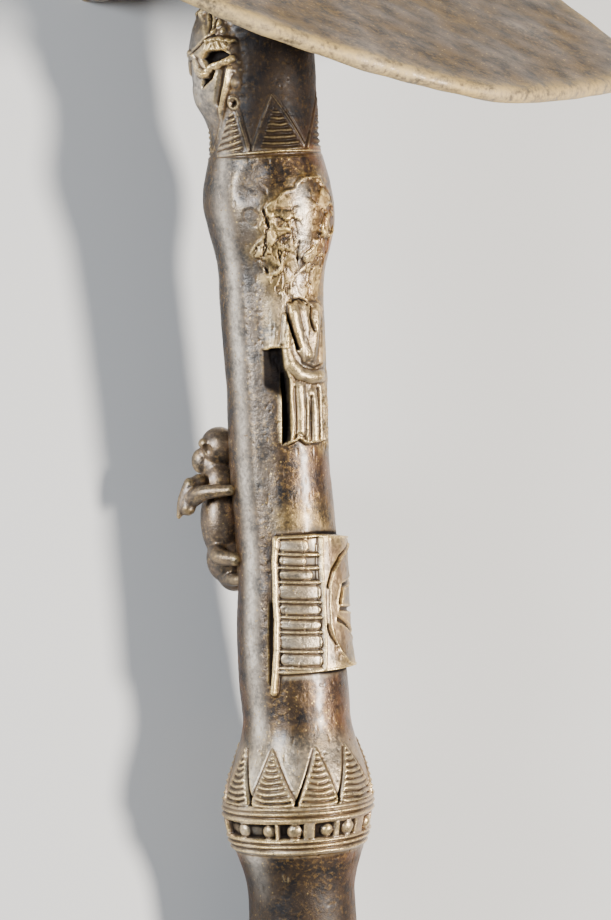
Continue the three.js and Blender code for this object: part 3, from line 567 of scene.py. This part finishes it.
def casting_marks(turn, z):
    """Slow waves, small dents and pits of the cast and handled surface."""
    rise = 0.2 * unevenness(turn, z, 12, 31) + 0.08 * unevenness(turn, z, 4.1, 32)
    rise += 0.03 * unevenness(turn, z, 1.2, 33)
    rise += 0.5 * bell(turn, -30, 7) * band(z, 226, 376, 40, 30)
    rise -= 0.3 * bell(turn, -14, 9) * band(z, 270, 350, 30, 20)
    rise -= 0.416 * np.clip(unevenness(turn, z, 1.1, 34) - 0.62, 0, 1)
    curl = line_distance(turn, z, [(-17, 175.2), (-15.8, 173.6), (-12.6, 173.2), (-12, 174.4)], 0.27)
    return rise + 0.35 * ridge(curl, 0.5)


# Each relief of the shaft, with the heights that it lies between.
RELIEFS = [(178, 214, lower_collar), (224, 272, plaque), (290, 340, robed_figure), (330, 380, swelling_skin),
           (374, 396, upper_collar)]


def shaft_rise(turn, z):
    rise = casting_marks(turn, z)
    for low, high, relief in RELIEFS:
        if not misses(z, low, high):
            rise += relief(turn, z)
    return rise


def fresh(name):
    """The object that the last primitive made, named for its piece."""
    piece = bpy.context.active_object
    piece.name = piece.data.name = name
    return piece


def nothing_selected():
    bpy.ops.object.select_all(action="DESELECT")


def alone(piece):
    nothing_selected()
    piece.select_set(True)
    bpy.context.view_layer.objects.active = piece


def places_of(piece):
    at = np.empty(len(piece.data.vertices) * 3)
    piece.data.vertices.foreach_get("co", at)
    return at.reshape(-1, 3)


def put_places(piece, at):
    piece.data.vertices.foreach_set("co", np.ascontiguousarray(at, dtype=np.float32).ravel())
    piece.data.update()


def mark(piece, name, values):
    """Stores a value at each point, or one value at all of them."""
    values = np.broadcast_to(np.asarray(values, dtype=np.float32).ravel(), len(piece.data.vertices))
    layer = piece.data.attributes.new(name, "FLOAT", "POINT")
    layer.data.foreach_set("value", np.ascontiguousarray(values))


def flat_grid(name, columns, rows):
    nothing_selected()
    bpy.ops.mesh.primitive_grid_add(x_subdivisions=columns, y_subdivisions=rows, size=2)
    return fresh(name)


def faces_out(piece, wrapped=False, sharp_ends=False):
    """Turns the faces outward, of a wrapped grid once its seam is merged and its ends are filled."""
    alone(piece)
    bpy.ops.object.mode_set(mode="EDIT")
    bpy.ops.mesh.select_all(action="SELECT")
    if wrapped:
        bpy.ops.mesh.remove_doubles(threshold=0.002)
        bpy.ops.mesh.select_all(action="DESELECT")
        bpy.ops.mesh.select_non_manifold()
        if sharp_ends:
            bpy.ops.mesh.mark_sharp()
        bpy.ops.mesh.fill_holes(sides=0)
        bpy.ops.mesh.select_all(action="SELECT")
    bpy.ops.mesh.normals_make_consistent(inside=False)
    bpy.ops.object.mode_set(mode="OBJECT")


# The grid's columns stand closer on the side that the photograph shows.
TURNS = np.concatenate([
    np.linspace(-180, -112, 40, endpoint=False), np.linspace(-112, 112, 311, endpoint=False),
    np.linspace(112, 180, 41)])


def skin_radius(turn, z):
    """The finished skin's distance from the axis."""
    radius = body_radius(z) + shaft_rise(turn, z)
    over = mask_radius(turn, z) - radius
    radius = np.where(over > -1.5, radius + np.where(over > 1.5, over, (over + 1.5) ** 2 / 6), radius)
    return radius + mask_face(turn, z)


def averaged(rise, z_from, z_to, reach):
    """rise, known on rows z_from and all TURNS, averaged over about reach mm round rows z_to."""
    along = bell(z_to[:, None], z_from[None, :], reach) * np.gradient(z_from)[None, :]
    apart = (TURNS[:, None] - TURNS[None, :] + 180) % 360 - 180
    share = np.gradient(TURNS)
    share[-1] = 0
    across = bell(apart * SHAFT_DEGREE, 0, reach) * share[None, :]
    along /= along.sum(axis=1, keepdims=True)
    across /= across.sum(axis=1, keepdims=True)
    return along @ rise @ across.T


def shaft_length(name, spans):
    """A length of the shaft, wrapped from a flat grid whose rows follow spans (from, to, step) in mm."""
    heights = np.concatenate([np.arange(a, b - 0.01, step) for a, b, step in spans] + [[spans[-1][1]]])
    piece = flat_grid(name, len(TURNS) - 1, len(heights) - 1)
    below, above = heights[0] - np.arange(7.5, 0, -0.5), heights[-1] + np.arange(0.5, 8, 0.5)
    beyond = np.concatenate([below, heights, above])
    turn, z = np.meshgrid(TURNS, np.clip(beyond, 0, HEAD_Z + CROWN))
    skin = skin_radius(turn, z)
    kept = slice(len(below), len(below) + len(heights))
    radius, turn, z = skin[kept], turn[kept], z[kept]
    for mark_name, reach in (("worn", 0.5), ("proud", 2.2)):
        mark(piece, mark_name, radius - averaged(skin, beyond, heights, reach))
    for mark_name, share in (("crust", crust_share), ("shade_and_grime", shade_and_grime_share), ("rubbed_and_sheen", rubbed_and_sheen_share),
                             ("russet", russet_share)):
        mark(piece, mark_name, share(turn, z))
    radius = np.where(z < 1.4, radius - (1.4 - z), radius)        # the butt's worn rim
    radius = radius * np.sqrt(1 - np.clip((z - HEAD_Z) / CROWN, 0, 0.999) ** 2)
    put_places(piece, on_skin(turn, z, radius).reshape(-1, 3))
    faces_out(piece, wrapped=True, sharp_ends=True)
    return piece


def apply_modifier(piece, kind, **settings):
    alone(piece)
    modifier = piece.modifiers.new(kind.title(), kind)
    for key, value in settings.items():
        setattr(modifier, key, value)
    bpy.ops.object.modifier_apply(modifier=modifier.name)


def ball(centre, radii, turn_z=0.0):
    nothing_selected()
    bpy.ops.mesh.primitive_uv_sphere_add(
        segments=48, ring_count=24, radius=1, location=centre, rotation=(0, 0, turn_z))
    lump = bpy.context.active_object
    lump.scale = radii
    bpy.ops.object.transform_apply(location=True, rotation=True, scale=True)
    return lump


def smooth_curve(knots, steps):
    """Points of the smooth curve through all knots but the first and the last."""
    curve = []
    for i in range(1, len(knots) - 2):
        p0, p1, p2, p3 = knots[i - 1:i + 3]
        for step in range(steps):
            t = step / steps
            curve.append(0.5 * (2 * p1 + (p2 - p0) * t + (2 * p0 - 5 * p1 + 4 * p2 - p3) * t * t
                                + (3 * p1 - p0 - 3 * p2 + p3) * t**3))
    return curve


def limb(points, start, end):
    """A round limb through points, tapering from start to end radius, with domed ends."""
    path = [Vector(p) for p in points]
    line = smooth_curve([path[0] * 2 - path[1]] + path + [path[-1] * 2 - path[-2]], 12) + path[-1:]
    parts = []
    for i, place in enumerate(line):
        nothing_selected()
        radius = start + (end - start) * i / (len(line) - 1)
        bpy.ops.mesh.primitive_ico_sphere_add(subdivisions=3, radius=radius, location=place)
        parts.append(bpy.context.active_object)
    return joined(parts)


def joined(parts):
    nothing_selected()
    for part in parts:
        part.select_set(True)
    bpy.context.view_layer.objects.active = parts[0]
    bpy.ops.object.join()
    return parts[0]


def fused(parts, name, voxel, smoothing):
    """Melts overlapping lumps into one skin."""
    piece = joined(parts)
    piece.name = piece.data.name = name
    alone(piece)
    bpy.ops.object.transform_apply(location=True, rotation=True, scale=True)
    apply_modifier(piece, "REMESH", mode="VOXEL", voxel_size=voxel)
    apply_modifier(piece, "SMOOTH", factor=0.5, iterations=smoothing)
    return piece


CLIMBER_FOOT, CLIMBER_TALL, CLIMBER_TURN = 253.5, 46.5, -112

# Places on the climbing animal are (out from the skin, sideways, up as a share of its height).
CLIMBER_BODY = [
    ((4.2, 0, 0.875), (4.8, 5.4, 5.6)), ((6.2, 0, 0.76), (3.6, 4.2, 4.6)), ((4.6, 0, 0.66), (4.9, 4.8, 6.4)),
    ((4.5, 0, 0.42), (6.6, 6.0, 11.5)), ((3.2, 0, 0.19), (6.0, 6.2, 7.0)), ((1.2, 0, 0.085), (4.6, 5.0, 4.4))]
CLIMBER_LIMBS = [
    ([(8.6, 5.4, 0.665), (10.6, 7.4, 0.60), (11.2, 8.2, 0.52)], 2.6, 2.3),
    ([(10.4, 7.4, 0.66), (12.6, 8.6, 0.56), (13.6, 9.2, 0.47)], 2.1, 0.8),
    ([(9.6, 7.8, 0.58), (5.0, 9.2, 0.615), (-2.4, 8.8, 0.625)], 2.7, 1.6),
    ([(4.6, 3.6, 0.25), (2.6, 7.0, 0.22), (-2.8, 8.4, 0.205)], 2.8, 2.0),
    ([(3.0, 2.6, 0.08), (-1.0, 5.4, 0.075), (-3.4, 6.4, 0.08)], 2.1, 1.6)]


def climber_place(out, side, up):
    angle = math.radians(CLIMBER_TURN)
    skin = float(body_radius(CLIMBER_FOOT + CLIMBER_TALL / 2))
    outward = Vector((math.sin(angle), -math.cos(angle), 0))
    sideways = Vector((math.cos(angle), math.sin(angle), 0))
    return Vector((0, 0, CLIMBER_FOOT + up * CLIMBER_TALL)) + outward * (skin + out) + sideways * side


def climber():
    """The animal that climbs the shaft's far side: trunk, paired head lumps and limbs, and hollow eyes."""
    at, angle = climber_place, math.radians(CLIMBER_TURN)
    lumps = [ball(at(*place), radii, angle) for place, radii in CLIMBER_BODY]
    for side in (-1, 1):
        lumps.append(ball(at(9.3, side * 1.9, 0.79), (2.0, 2.7, 3.6), angle))
        lumps.append(ball(at(7.2, side * 3.0, 0.90), (2.0, 2.0, 1.7), angle))
        for points, start, end in CLIMBER_LIMBS:
            lumps.append(limb([at(out, side * across, up) for out, across, up in points], start, end))
    piece = fused(lumps, "climber", 0.42, 4)
    for side in (-1, 1):
        socket = ball(at(5.9, side * 5.8, 0.855), (2.2, 2.0, 2.4), angle)
        apply_modifier(piece, "BOOLEAN", operation="DIFFERENCE", object=socket, solver="EXACT")
        bpy.data.objects.remove(socket)
    return piece


DROOP, BEARING = math.radians(30.6), math.radians(33)
AHEAD = Vector((math.cos(BEARING), -math.sin(BEARING), 0))
BLADE_NORMAL = math.sin(DROOP) * AHEAD + Vector((0, 0, math.cos(DROOP)))
BLADE_ALONG = math.cos(DROOP) * AHEAD - Vector((0, 0, math.sin(DROOP)))
BLADE_ACROSS = BLADE_ALONG.cross(BLADE_NORMAL)
BLADE_THICK, BLADE_REACH, BLADE_WIDE, BLADE_NARROW, BLADE_BACK = 4.6, 109, 108, 101, 8


def blade_outline(count):
    """Points evenly round the half-moon, as (across, along) in mm from the shaft's axis."""
    wide, narrow, reach, back = BLADE_WIDE, BLADE_NARROW, BLADE_REACH, BLADE_BACK
    shape = np.array([
        (wide, -0.5 * back), (wide, 0.18 * reach), (0.92 * wide, 0.46 * reach), (0.75 * wide, 0.70 * reach),
        (0.48 * wide, 0.90 * reach), (0.20 * wide, reach), (-0.30 * narrow, 0.98 * reach),
        (-0.57 * narrow, 0.92 * reach), (-0.71 * narrow, 0.75 * reach), (-0.80 * narrow, 0.52 * reach),
        (-0.97 * narrow, 0.10 * reach), (-narrow, -0.5 * back)])
    curve = smooth_curve(np.vstack([shape[0], shape, shape[-1]]), 20)
    ring = np.vstack([curve, shape[-1:], [(-0.96 * narrow, -back)], [(0.96 * wide, -back)], shape[:1]])
    gone = np.concatenate([[0], np.cumsum(np.hypot(*np.diff(ring, axis=0).T))])
    even = np.linspace(0, gone[-1], count, endpoint=False)
    return np.stack([np.interp(even, gone, ring[:, 0]), np.interp(even, gone, ring[:, 1])], axis=-1)


def on_blade(across, along, height):
    """Places in the frame of the blade, which starts at the shaft's head."""
    return (np.outer(across, BLADE_ACROSS) + np.outer(along, BLADE_ALONG) + np.outer(height, BLADE_NORMAL)
            + np.array([0, 0, HEAD_Z]))


def blade():
    """A globe's meridians drawn out to the half-moon's outline and its rings pressed flat."""
    meridians, rings = 360, 128
    nothing_selected()
    bpy.ops.mesh.primitive_uv_sphere_add(segments=meridians, ring_count=rings, radius=1)
    piece = fresh("blade")
    at = places_of(piece)
    around = (np.degrees(np.arctan2(at[:, 1], at[:, 0])) % 360) / 360 * meridians
    index = np.round(around).astype(int) % meridians
    latitude = np.arcsin(np.clip(at[:, 2], -1, 1)) / (math.pi / 2)
    face = 0.84                         # the rings beyond this make the rounded edge
    flat = np.abs(latitude) > 1 - face
    edge_round = 2.6
    outline = blade_outline(meridians)
    middle = np.array([0.0, 42.0])
    reach = np.hypot(*(outline - middle).T)[index]
    bend = np.where(flat, 1.0, np.abs(latitude) / (1 - face)) * math.pi / 2
    share = np.where(flat, (1 - np.abs(latitude)) / face * (1 - edge_round / reach),
                     1 - edge_round / reach + np.cos(bend) * edge_round / reach)
    half = BLADE_THICK / 2
    plane = middle + (outline[index] - middle) * share[:, None]
    rng = np.random.default_rng(41)
    wave = np.zeros(len(at))
    for _ in range(26):
        way, length, phase = rng.uniform(0, 2 * math.pi), rng.uniform(9, 46), rng.uniform(0, 2 * math.pi)
        along = plane[:, 0] * math.cos(way) + plane[:, 1] * math.sin(way)
        wave += np.cos(along * 2 * math.pi / length + phase)
    height = half + np.sign(latitude) * np.sin(bend) * (half + 0.045 * wave)
    put_places(piece, on_blade(plane[:, 0], plane[:, 1], height))
    from_edge = (1 - share) * reach
    mark(piece, "dull", np.clip(0.8 - 0.5 * np.exp(-from_edge / 3.0), 0, 1))
    mark(piece, "worn", 0)
    mark(piece, "proud", 0)
    mark(piece, "rubbed_and_sheen", np.clip(0.09 + 0.05 * wave / 3 + 0.2 * np.exp(-from_edge / 3.5), 0, 1))
    rim = 0.85 * np.exp(-((from_edge - 1) / 3.4) ** 2)
    mark(piece, "crust", np.clip(0.08 - 0.07 * wave / 3 + rim, 0, 1))
    faces_out(piece)
    return piece


def blade_root():
    """The flare under the blade where the shaft runs into it."""
    piece = flat_grid("blade_root", 128, 24)
    angle, up = np.meshgrid(np.linspace(0, 2 * math.pi, 129), np.linspace(0, 1, 25))
    radius = 16.6 + 13.4 * up**2.2
    put_places(piece, on_blade(radius * np.cos(angle), radius * np.sin(angle), -8.7 + 11.0 * up))
    for name, value in (("worn", 0), ("proud", 0), ("rubbed_and_sheen", 0.1), ("dull", 0.5)):
        mark(piece, name, value)
    faces_out(piece, wrapped=True)
    return piece


def poll():
    """The short curled neck behind the blade, with its two-lobed bud."""
    angle = math.radians(270) - BEARING
    reach, hang, arch = 52, 19, 7

    def at(out, z):
        return Vector((out * math.sin(angle), -out * math.cos(angle), z))

    tip = HEAD_Z - hang
    return fused([
        limb([at(4, HEAD_Z + 2), at(0.45 * reach, HEAD_Z + arch), at(0.8 * reach, HEAD_Z + 0.3 * arch),
              at(reach, tip + 0.35 * hang)], 9.5, 5.6),
        ball(at(reach + 1, tip + 5.0), (7.6, 6.2, 6.4), angle),
        ball(at(reach + 5, tip + 1.6), (3.4, 3.4, 3.0)),
    ], "poll", 0.6, 6)


def mark_wear(piece):
    """Stores how far each point stands out of its surroundings, near and wide, for the patina and for the
    painted shade in deep recesses.
    """
    mesh = piece.data
    at = places_of(piece)
    normals = np.empty(len(at) * 3)
    mesh.vertices.foreach_get("normal", normals)
    normals = normals.reshape(-1, 3)
    ends = np.empty(len(mesh.edges) * 2, dtype=np.int64)
    mesh.edges.foreach_get("vertices", ends)
    a, b = ends.reshape(-1, 2).T
    count = np.maximum(np.bincount(a, minlength=len(at)) + np.bincount(b, minlength=len(at)), 1)
    smooth = at.copy()
    for rounds, name in ((5, "worn"), (30, "proud")):
        for _ in range(rounds):
            total = np.stack([np.bincount(a, smooth[b, k], len(at)) + np.bincount(b, smooth[a, k], len(at))
                              for k in range(3)], axis=-1)
            smooth = 0.5 * smooth + 0.5 * total / count[:, None]
        mark(piece, name, np.einsum("ij,ij->i", at - smooth, normals))


BLACK, BROWN, UMBER = (0.012, 0.010, 0.010, 1), (0.070, 0.041, 0.020, 1), (0.040, 0.020, 0.007, 1)
OCHRE, STRAW, GOLD = (0.25, 0.14, 0.036, 1), (0.52, 0.355, 0.12, 1), (0.88, 0.62, 0.25, 1)
HANDLED_AND_SHEEN, RUSSET, SHADE_AND_GRIME_BLACK = (0.68, 0.60, 0.50, 1), (0.27, 0.10, 0.035, 1), (0.004, 0.003, 0.003, 1)


def old_brass():
    """Dark mottled patina, handled and russet patches with painted highlight strips, crust, gold on worn
    crests, and painted shade near black in the depths, with grime on the grip.
    """
    material = bpy.data.materials.new("aged_brass")
    material.use_nodes = True
    tree = material.node_tree

    def made(kind, inputs, output, **settings):
        new = tree.nodes.new(kind)
        for key, value in settings.items():
            setattr(new, key, value)
        for key, value in inputs.items():
            if isinstance(value, bpy.types.NodeSocket):
                tree.links.new(value, new.inputs[key])
            else:
                new.inputs[key].default_value = value
        return new.outputs[output]

    where = made("ShaderNodeTexCoord", {}, "Object")

    def cloud(scale, detail, rough=0.55):
        return made("ShaderNodeTexNoise", {"Vector": where, "Scale": scale, "Detail": detail,
                                           "Roughness": rough}, "Fac")

    def stored(name):
        return made("ShaderNodeAttribute", {}, "Fac", attribute_name=name)

    def reckon(operation, first, second):
        return made("ShaderNodeMath", {0: first, 1: second}, 0, operation=operation)

    def plus(first, second):
        return reckon("ADD", first, second)

    def times(first, second):
        return reckon("MULTIPLY", first, second)

    def ramp(value, low, high, to_low=0.0, to_high=1.0):
        return made("ShaderNodeMapRange", {"Value": value, "From Min": low, "From Max": high,
                                           "To Min": to_low, "To Max": to_high}, "Result")

    def over(below, above, share):
        return made("ShaderNodeMix", {6: below, 7: above, 0: share}, 2, data_type="RGBA")

    patches, speckle, grain = cloud(190, 5, 0.62), cloud(850, 4, 0.7), cloud(2600, 3, 0.6)
    mottle = plus(patches, speckle)
    worn, proud, crust, rubbed_and_sheen = stored("worn"), stored("proud"), stored("crust"), stored("rubbed_and_sheen")
    russet, shade_and_grime, dull = stored("russet"), stored("shade_and_grime"), stored("dull")

    colour = over(BLACK, BROWN, ramp(patches, 0.38, 0.60))
    specks = times(ramp(speckle, 0.52, 0.66), ramp(cloud(34, 4), 0.36, 0.60, 0.05, 0.85))
    colour = over(colour, OCHRE, specks)
    colour = over(colour, RUSSET, times(russet, ramp(patches, 0.35, 0.6, 0.15, 0.8)))
    # Pale handled patina, and the painted highlight strips, made matt further down.
    handled = times(rubbed_and_sheen, ramp(mottle, 0.75, 1.15, 0.35, 1))
    colour = over(colour, HANDLED_AND_SHEEN, handled)
    crusted = times(crust, ramp(mottle, 0.8, 1.15, 0.2, 1))
    colour = over(colour, STRAW, times(crusted, 0.8))
    dust = times(ramp(worn, -0.02, -0.12), ramp(speckle, 0.38, 0.58, 0.2, 0.85))
    colour = over(colour, OCHRE, dust)
    colour = over(colour, UMBER, times(ramp(worn, -0.04, -0.17), 0.9))
    lifted = plus(ramp(worn, 0.03, 0.28, 0, 0.7), ramp(proud, 0.15, 1.1, 0, 0.5))
    lifted = times(lifted, ramp(crusted, 0.3, 0.8, 1, 0.5))
    colour = over(colour, GOLD, times(lifted, ramp(speckle, 0.32, 0.6, 0.25, 0.85)))
    # Painted shade: near black in deep recesses and in the marked shade, plus thin grime on the grip; the
    # shine is taken away there too.
    shade_and_grime_cover = reckon("MAXIMUM", ramp(proud, -0.22, -1.0, 0, 0.95), times(shade_and_grime, 0.97))
    colour = over(colour, SHADE_AND_GRIME_BLACK, shade_and_grime_cover)
    fleck = made("ShaderNodeTexVoronoi", {"Vector": where, "Scale": 640.0}, "Distance")
    flecks = times(ramp(fleck, 0.20, 0.10), ramp(patches, 0.48, 0.58, 0, 0.9))
    colour = over(colour, STRAW, times(flecks, ramp(shade_and_grime_cover, 0.3, 0.7, 1, 0)))

    matt = plus(ramp(crusted, 0.25, 0.8), plus(shade_and_grime_cover, dull))
    matt = plus(matt, ramp(handled, 0.45, 1, 0, 0.7))
    rough = plus(plus(speckle, matt), times(lifted, -0.4))
    height = plus(times(speckle, 0.7), times(grain, 0.3))
    surface = tree.nodes["Principled BSDF"].inputs
    for name, value in {
        "Base Color": colour,
        "Metallic": ramp(matt, 0, 1, 0.70, 0.15),
        "Roughness": ramp(rough, 0.2, 1.5, 0.27, 0.62),
        "Coat Weight": ramp(matt, 0, 0.9, 0.32, 0.0),
        "Specular IOR Level": times(ramp(shade_and_grime_cover, 0.3, 0.9, 0.5, 0.05), ramp(dull, 0, 1, 1, 0.35)),
        "Normal": made("ShaderNodeBump", {"Strength": 0.45, "Distance": 0.0005, "Height": height}, "Normal"),
    }.items():
        tree.links.new(value, surface[name])
    surface["Coat Roughness"].default_value = 0.24
    return material


def dressed(piece, brass):
    """Lays the piece down in the frame, marks its wear and gives it the brass."""
    for share, value in (("crust", 0.04), ("rubbed_and_sheen", 0.10), ("russet", 0.1), ("shade_and_grime", 0), ("dull", 0)):
        if share not in piece.data.attributes:
            mark(piece, share, value)
    if "worn" not in piece.data.attributes:
        mark_wear(piece)
    piece.data.transform(LAY)
    at = places_of(piece)
    at[:, 2] = np.maximum(at[:, 2], 0)               # flat spots where it rests
    put_places(piece, at)
    alone(piece)
    bpy.ops.object.shade_smooth()
    piece.data.materials.clear()
    piece.data.materials.append(brass)
    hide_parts("mace")
    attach(piece, "root")


BRASS = old_brass()
MACE = [
    shaft_length("shaft_grip", [(0, 8, 0.7), (8, 150, 2.4), (150, 178, 0.5), (178, 193.7, 0.2)]),
    shaft_length("shaft_plaque", [(193.7, 213, 0.22), (213, 226, 0.65), (226, 271.5, 0.33)]),
    shaft_length("shaft_figure", [(271.5, 294, 0.7), (294, 336, 0.3), (336, 369, 0.42)]),
    shaft_length("shaft_head", [(369, 376, 0.4), (376, 393, 0.21), (393, 417, 0.26), (417, 441, 1.3),
                                (441, 455.9, 0.8)]),
    climber(),
    blade_root(),
    blade(),
    poll(),
]
for piece in MACE:
    dressed(piece, BRASS)


nothing_selected()
bpy.ops.mesh.primitive_plane_add(size=8)
table_top = fresh("table_top")
pale = bpy.data.materials.new("pale_table")
pale.use_nodes = True
pale_surface = pale.node_tree.nodes["Principled BSDF"].inputs
pale_surface["Base Color"].default_value = (0.50, 0.495, 0.485, 1)
pale_surface["Roughness"].default_value = 0.9
table_top.data.materials.append(pale)


def soft_light(name, place, aim, size, watts, colour):
    lamp = bpy.data.lights.new(name, "AREA")
    lamp.shape, lamp.size, lamp.energy, lamp.color = "DISK", size, watts, colour
    holder = bpy.data.objects.new(name, lamp)
    bpy.context.scene.collection.objects.link(holder)
    holder.location = place
    holder.rotation_mode = "QUATERNION"
    holder.rotation_quaternion = (aim - place).to_track_quat("-Z", "Y")


AIM = Vector((0, 0, 290))             # the height on the axis that the camera and the lamps face
GRIP_MIDDLE = LAY @ AIM
soft_light("key", GRIP_MIDDLE + Vector((0.58, -0.20, 1.12)), GRIP_MIDDLE, 0.20, 52, (1.0, 0.95, 0.88))
soft_light("cool_side", GRIP_MIDDLE + Vector((-1.25, 0.30, 0.50)), GRIP_MIDDLE, 0.5, 38, (0.86, 0.92, 1.0))
soft_light("overhead", GRIP_MIDDLE + Vector((0.0, -0.9, 1.6)), GRIP_MIDDLE, 1.4, 3, (1.0, 1.0, 1.0))

room = bpy.data.worlds.new("room")
room.use_nodes = True
glow = room.node_tree.nodes["Background"].inputs
glow["Color"].default_value = (0.80, 0.84, 0.90, 1)
glow["Strength"].default_value = 0.12
bpy.context.scene.world = room

# Photographed upright from 1.26 m, from 4.5 degrees above level, with the picture turned 2.82 degrees.
RISE, TILT, DISTANCE = math.radians(4.5), math.radians(2.82), 1260
PICTURE_TALL, FOCAL_LENGTH, SENSOR = 920, 4500, 36        # the first two in picture points
SIDEWAYS = 7.14                                           # mm that the camera stands to the right
BACK = Vector((0, -math.cos(RISE), math.sin(RISE)))
LEVEL_UP = Vector((0, math.sin(RISE), math.cos(RISE)))
PICTURE_RIGHT = math.cos(TILT) * Vector((1, 0, 0)) - math.sin(TILT) * LEVEL_UP
PICTURE_UP = math.sin(TILT) * Vector((1, 0, 0)) + math.cos(TILT) * LEVEL_UP
lens = bpy.data.cameras.new("camera")
lens.lens = FOCAL_LENGTH / PICTURE_TALL * SENSOR
lens.sensor_width = SENSOR
camera = bpy.data.objects.new("camera", lens)
bpy.context.scene.collection.objects.link(camera)
camera.location = LAY @ (AIM + DISTANCE * BACK + SIDEWAYS * PICTURE_RIGHT)
camera.rotation_mode = "QUATERNION"
axes = [(LAY.to_3x3() @ axis).normalized() for axis in (PICTURE_RIGHT, PICTURE_UP, BACK)]
camera.rotation_quaternion = Matrix([[axis[i] for axis in axes] for i in range(3)]).to_quaternion()
bpy.context.scene.camera = camera
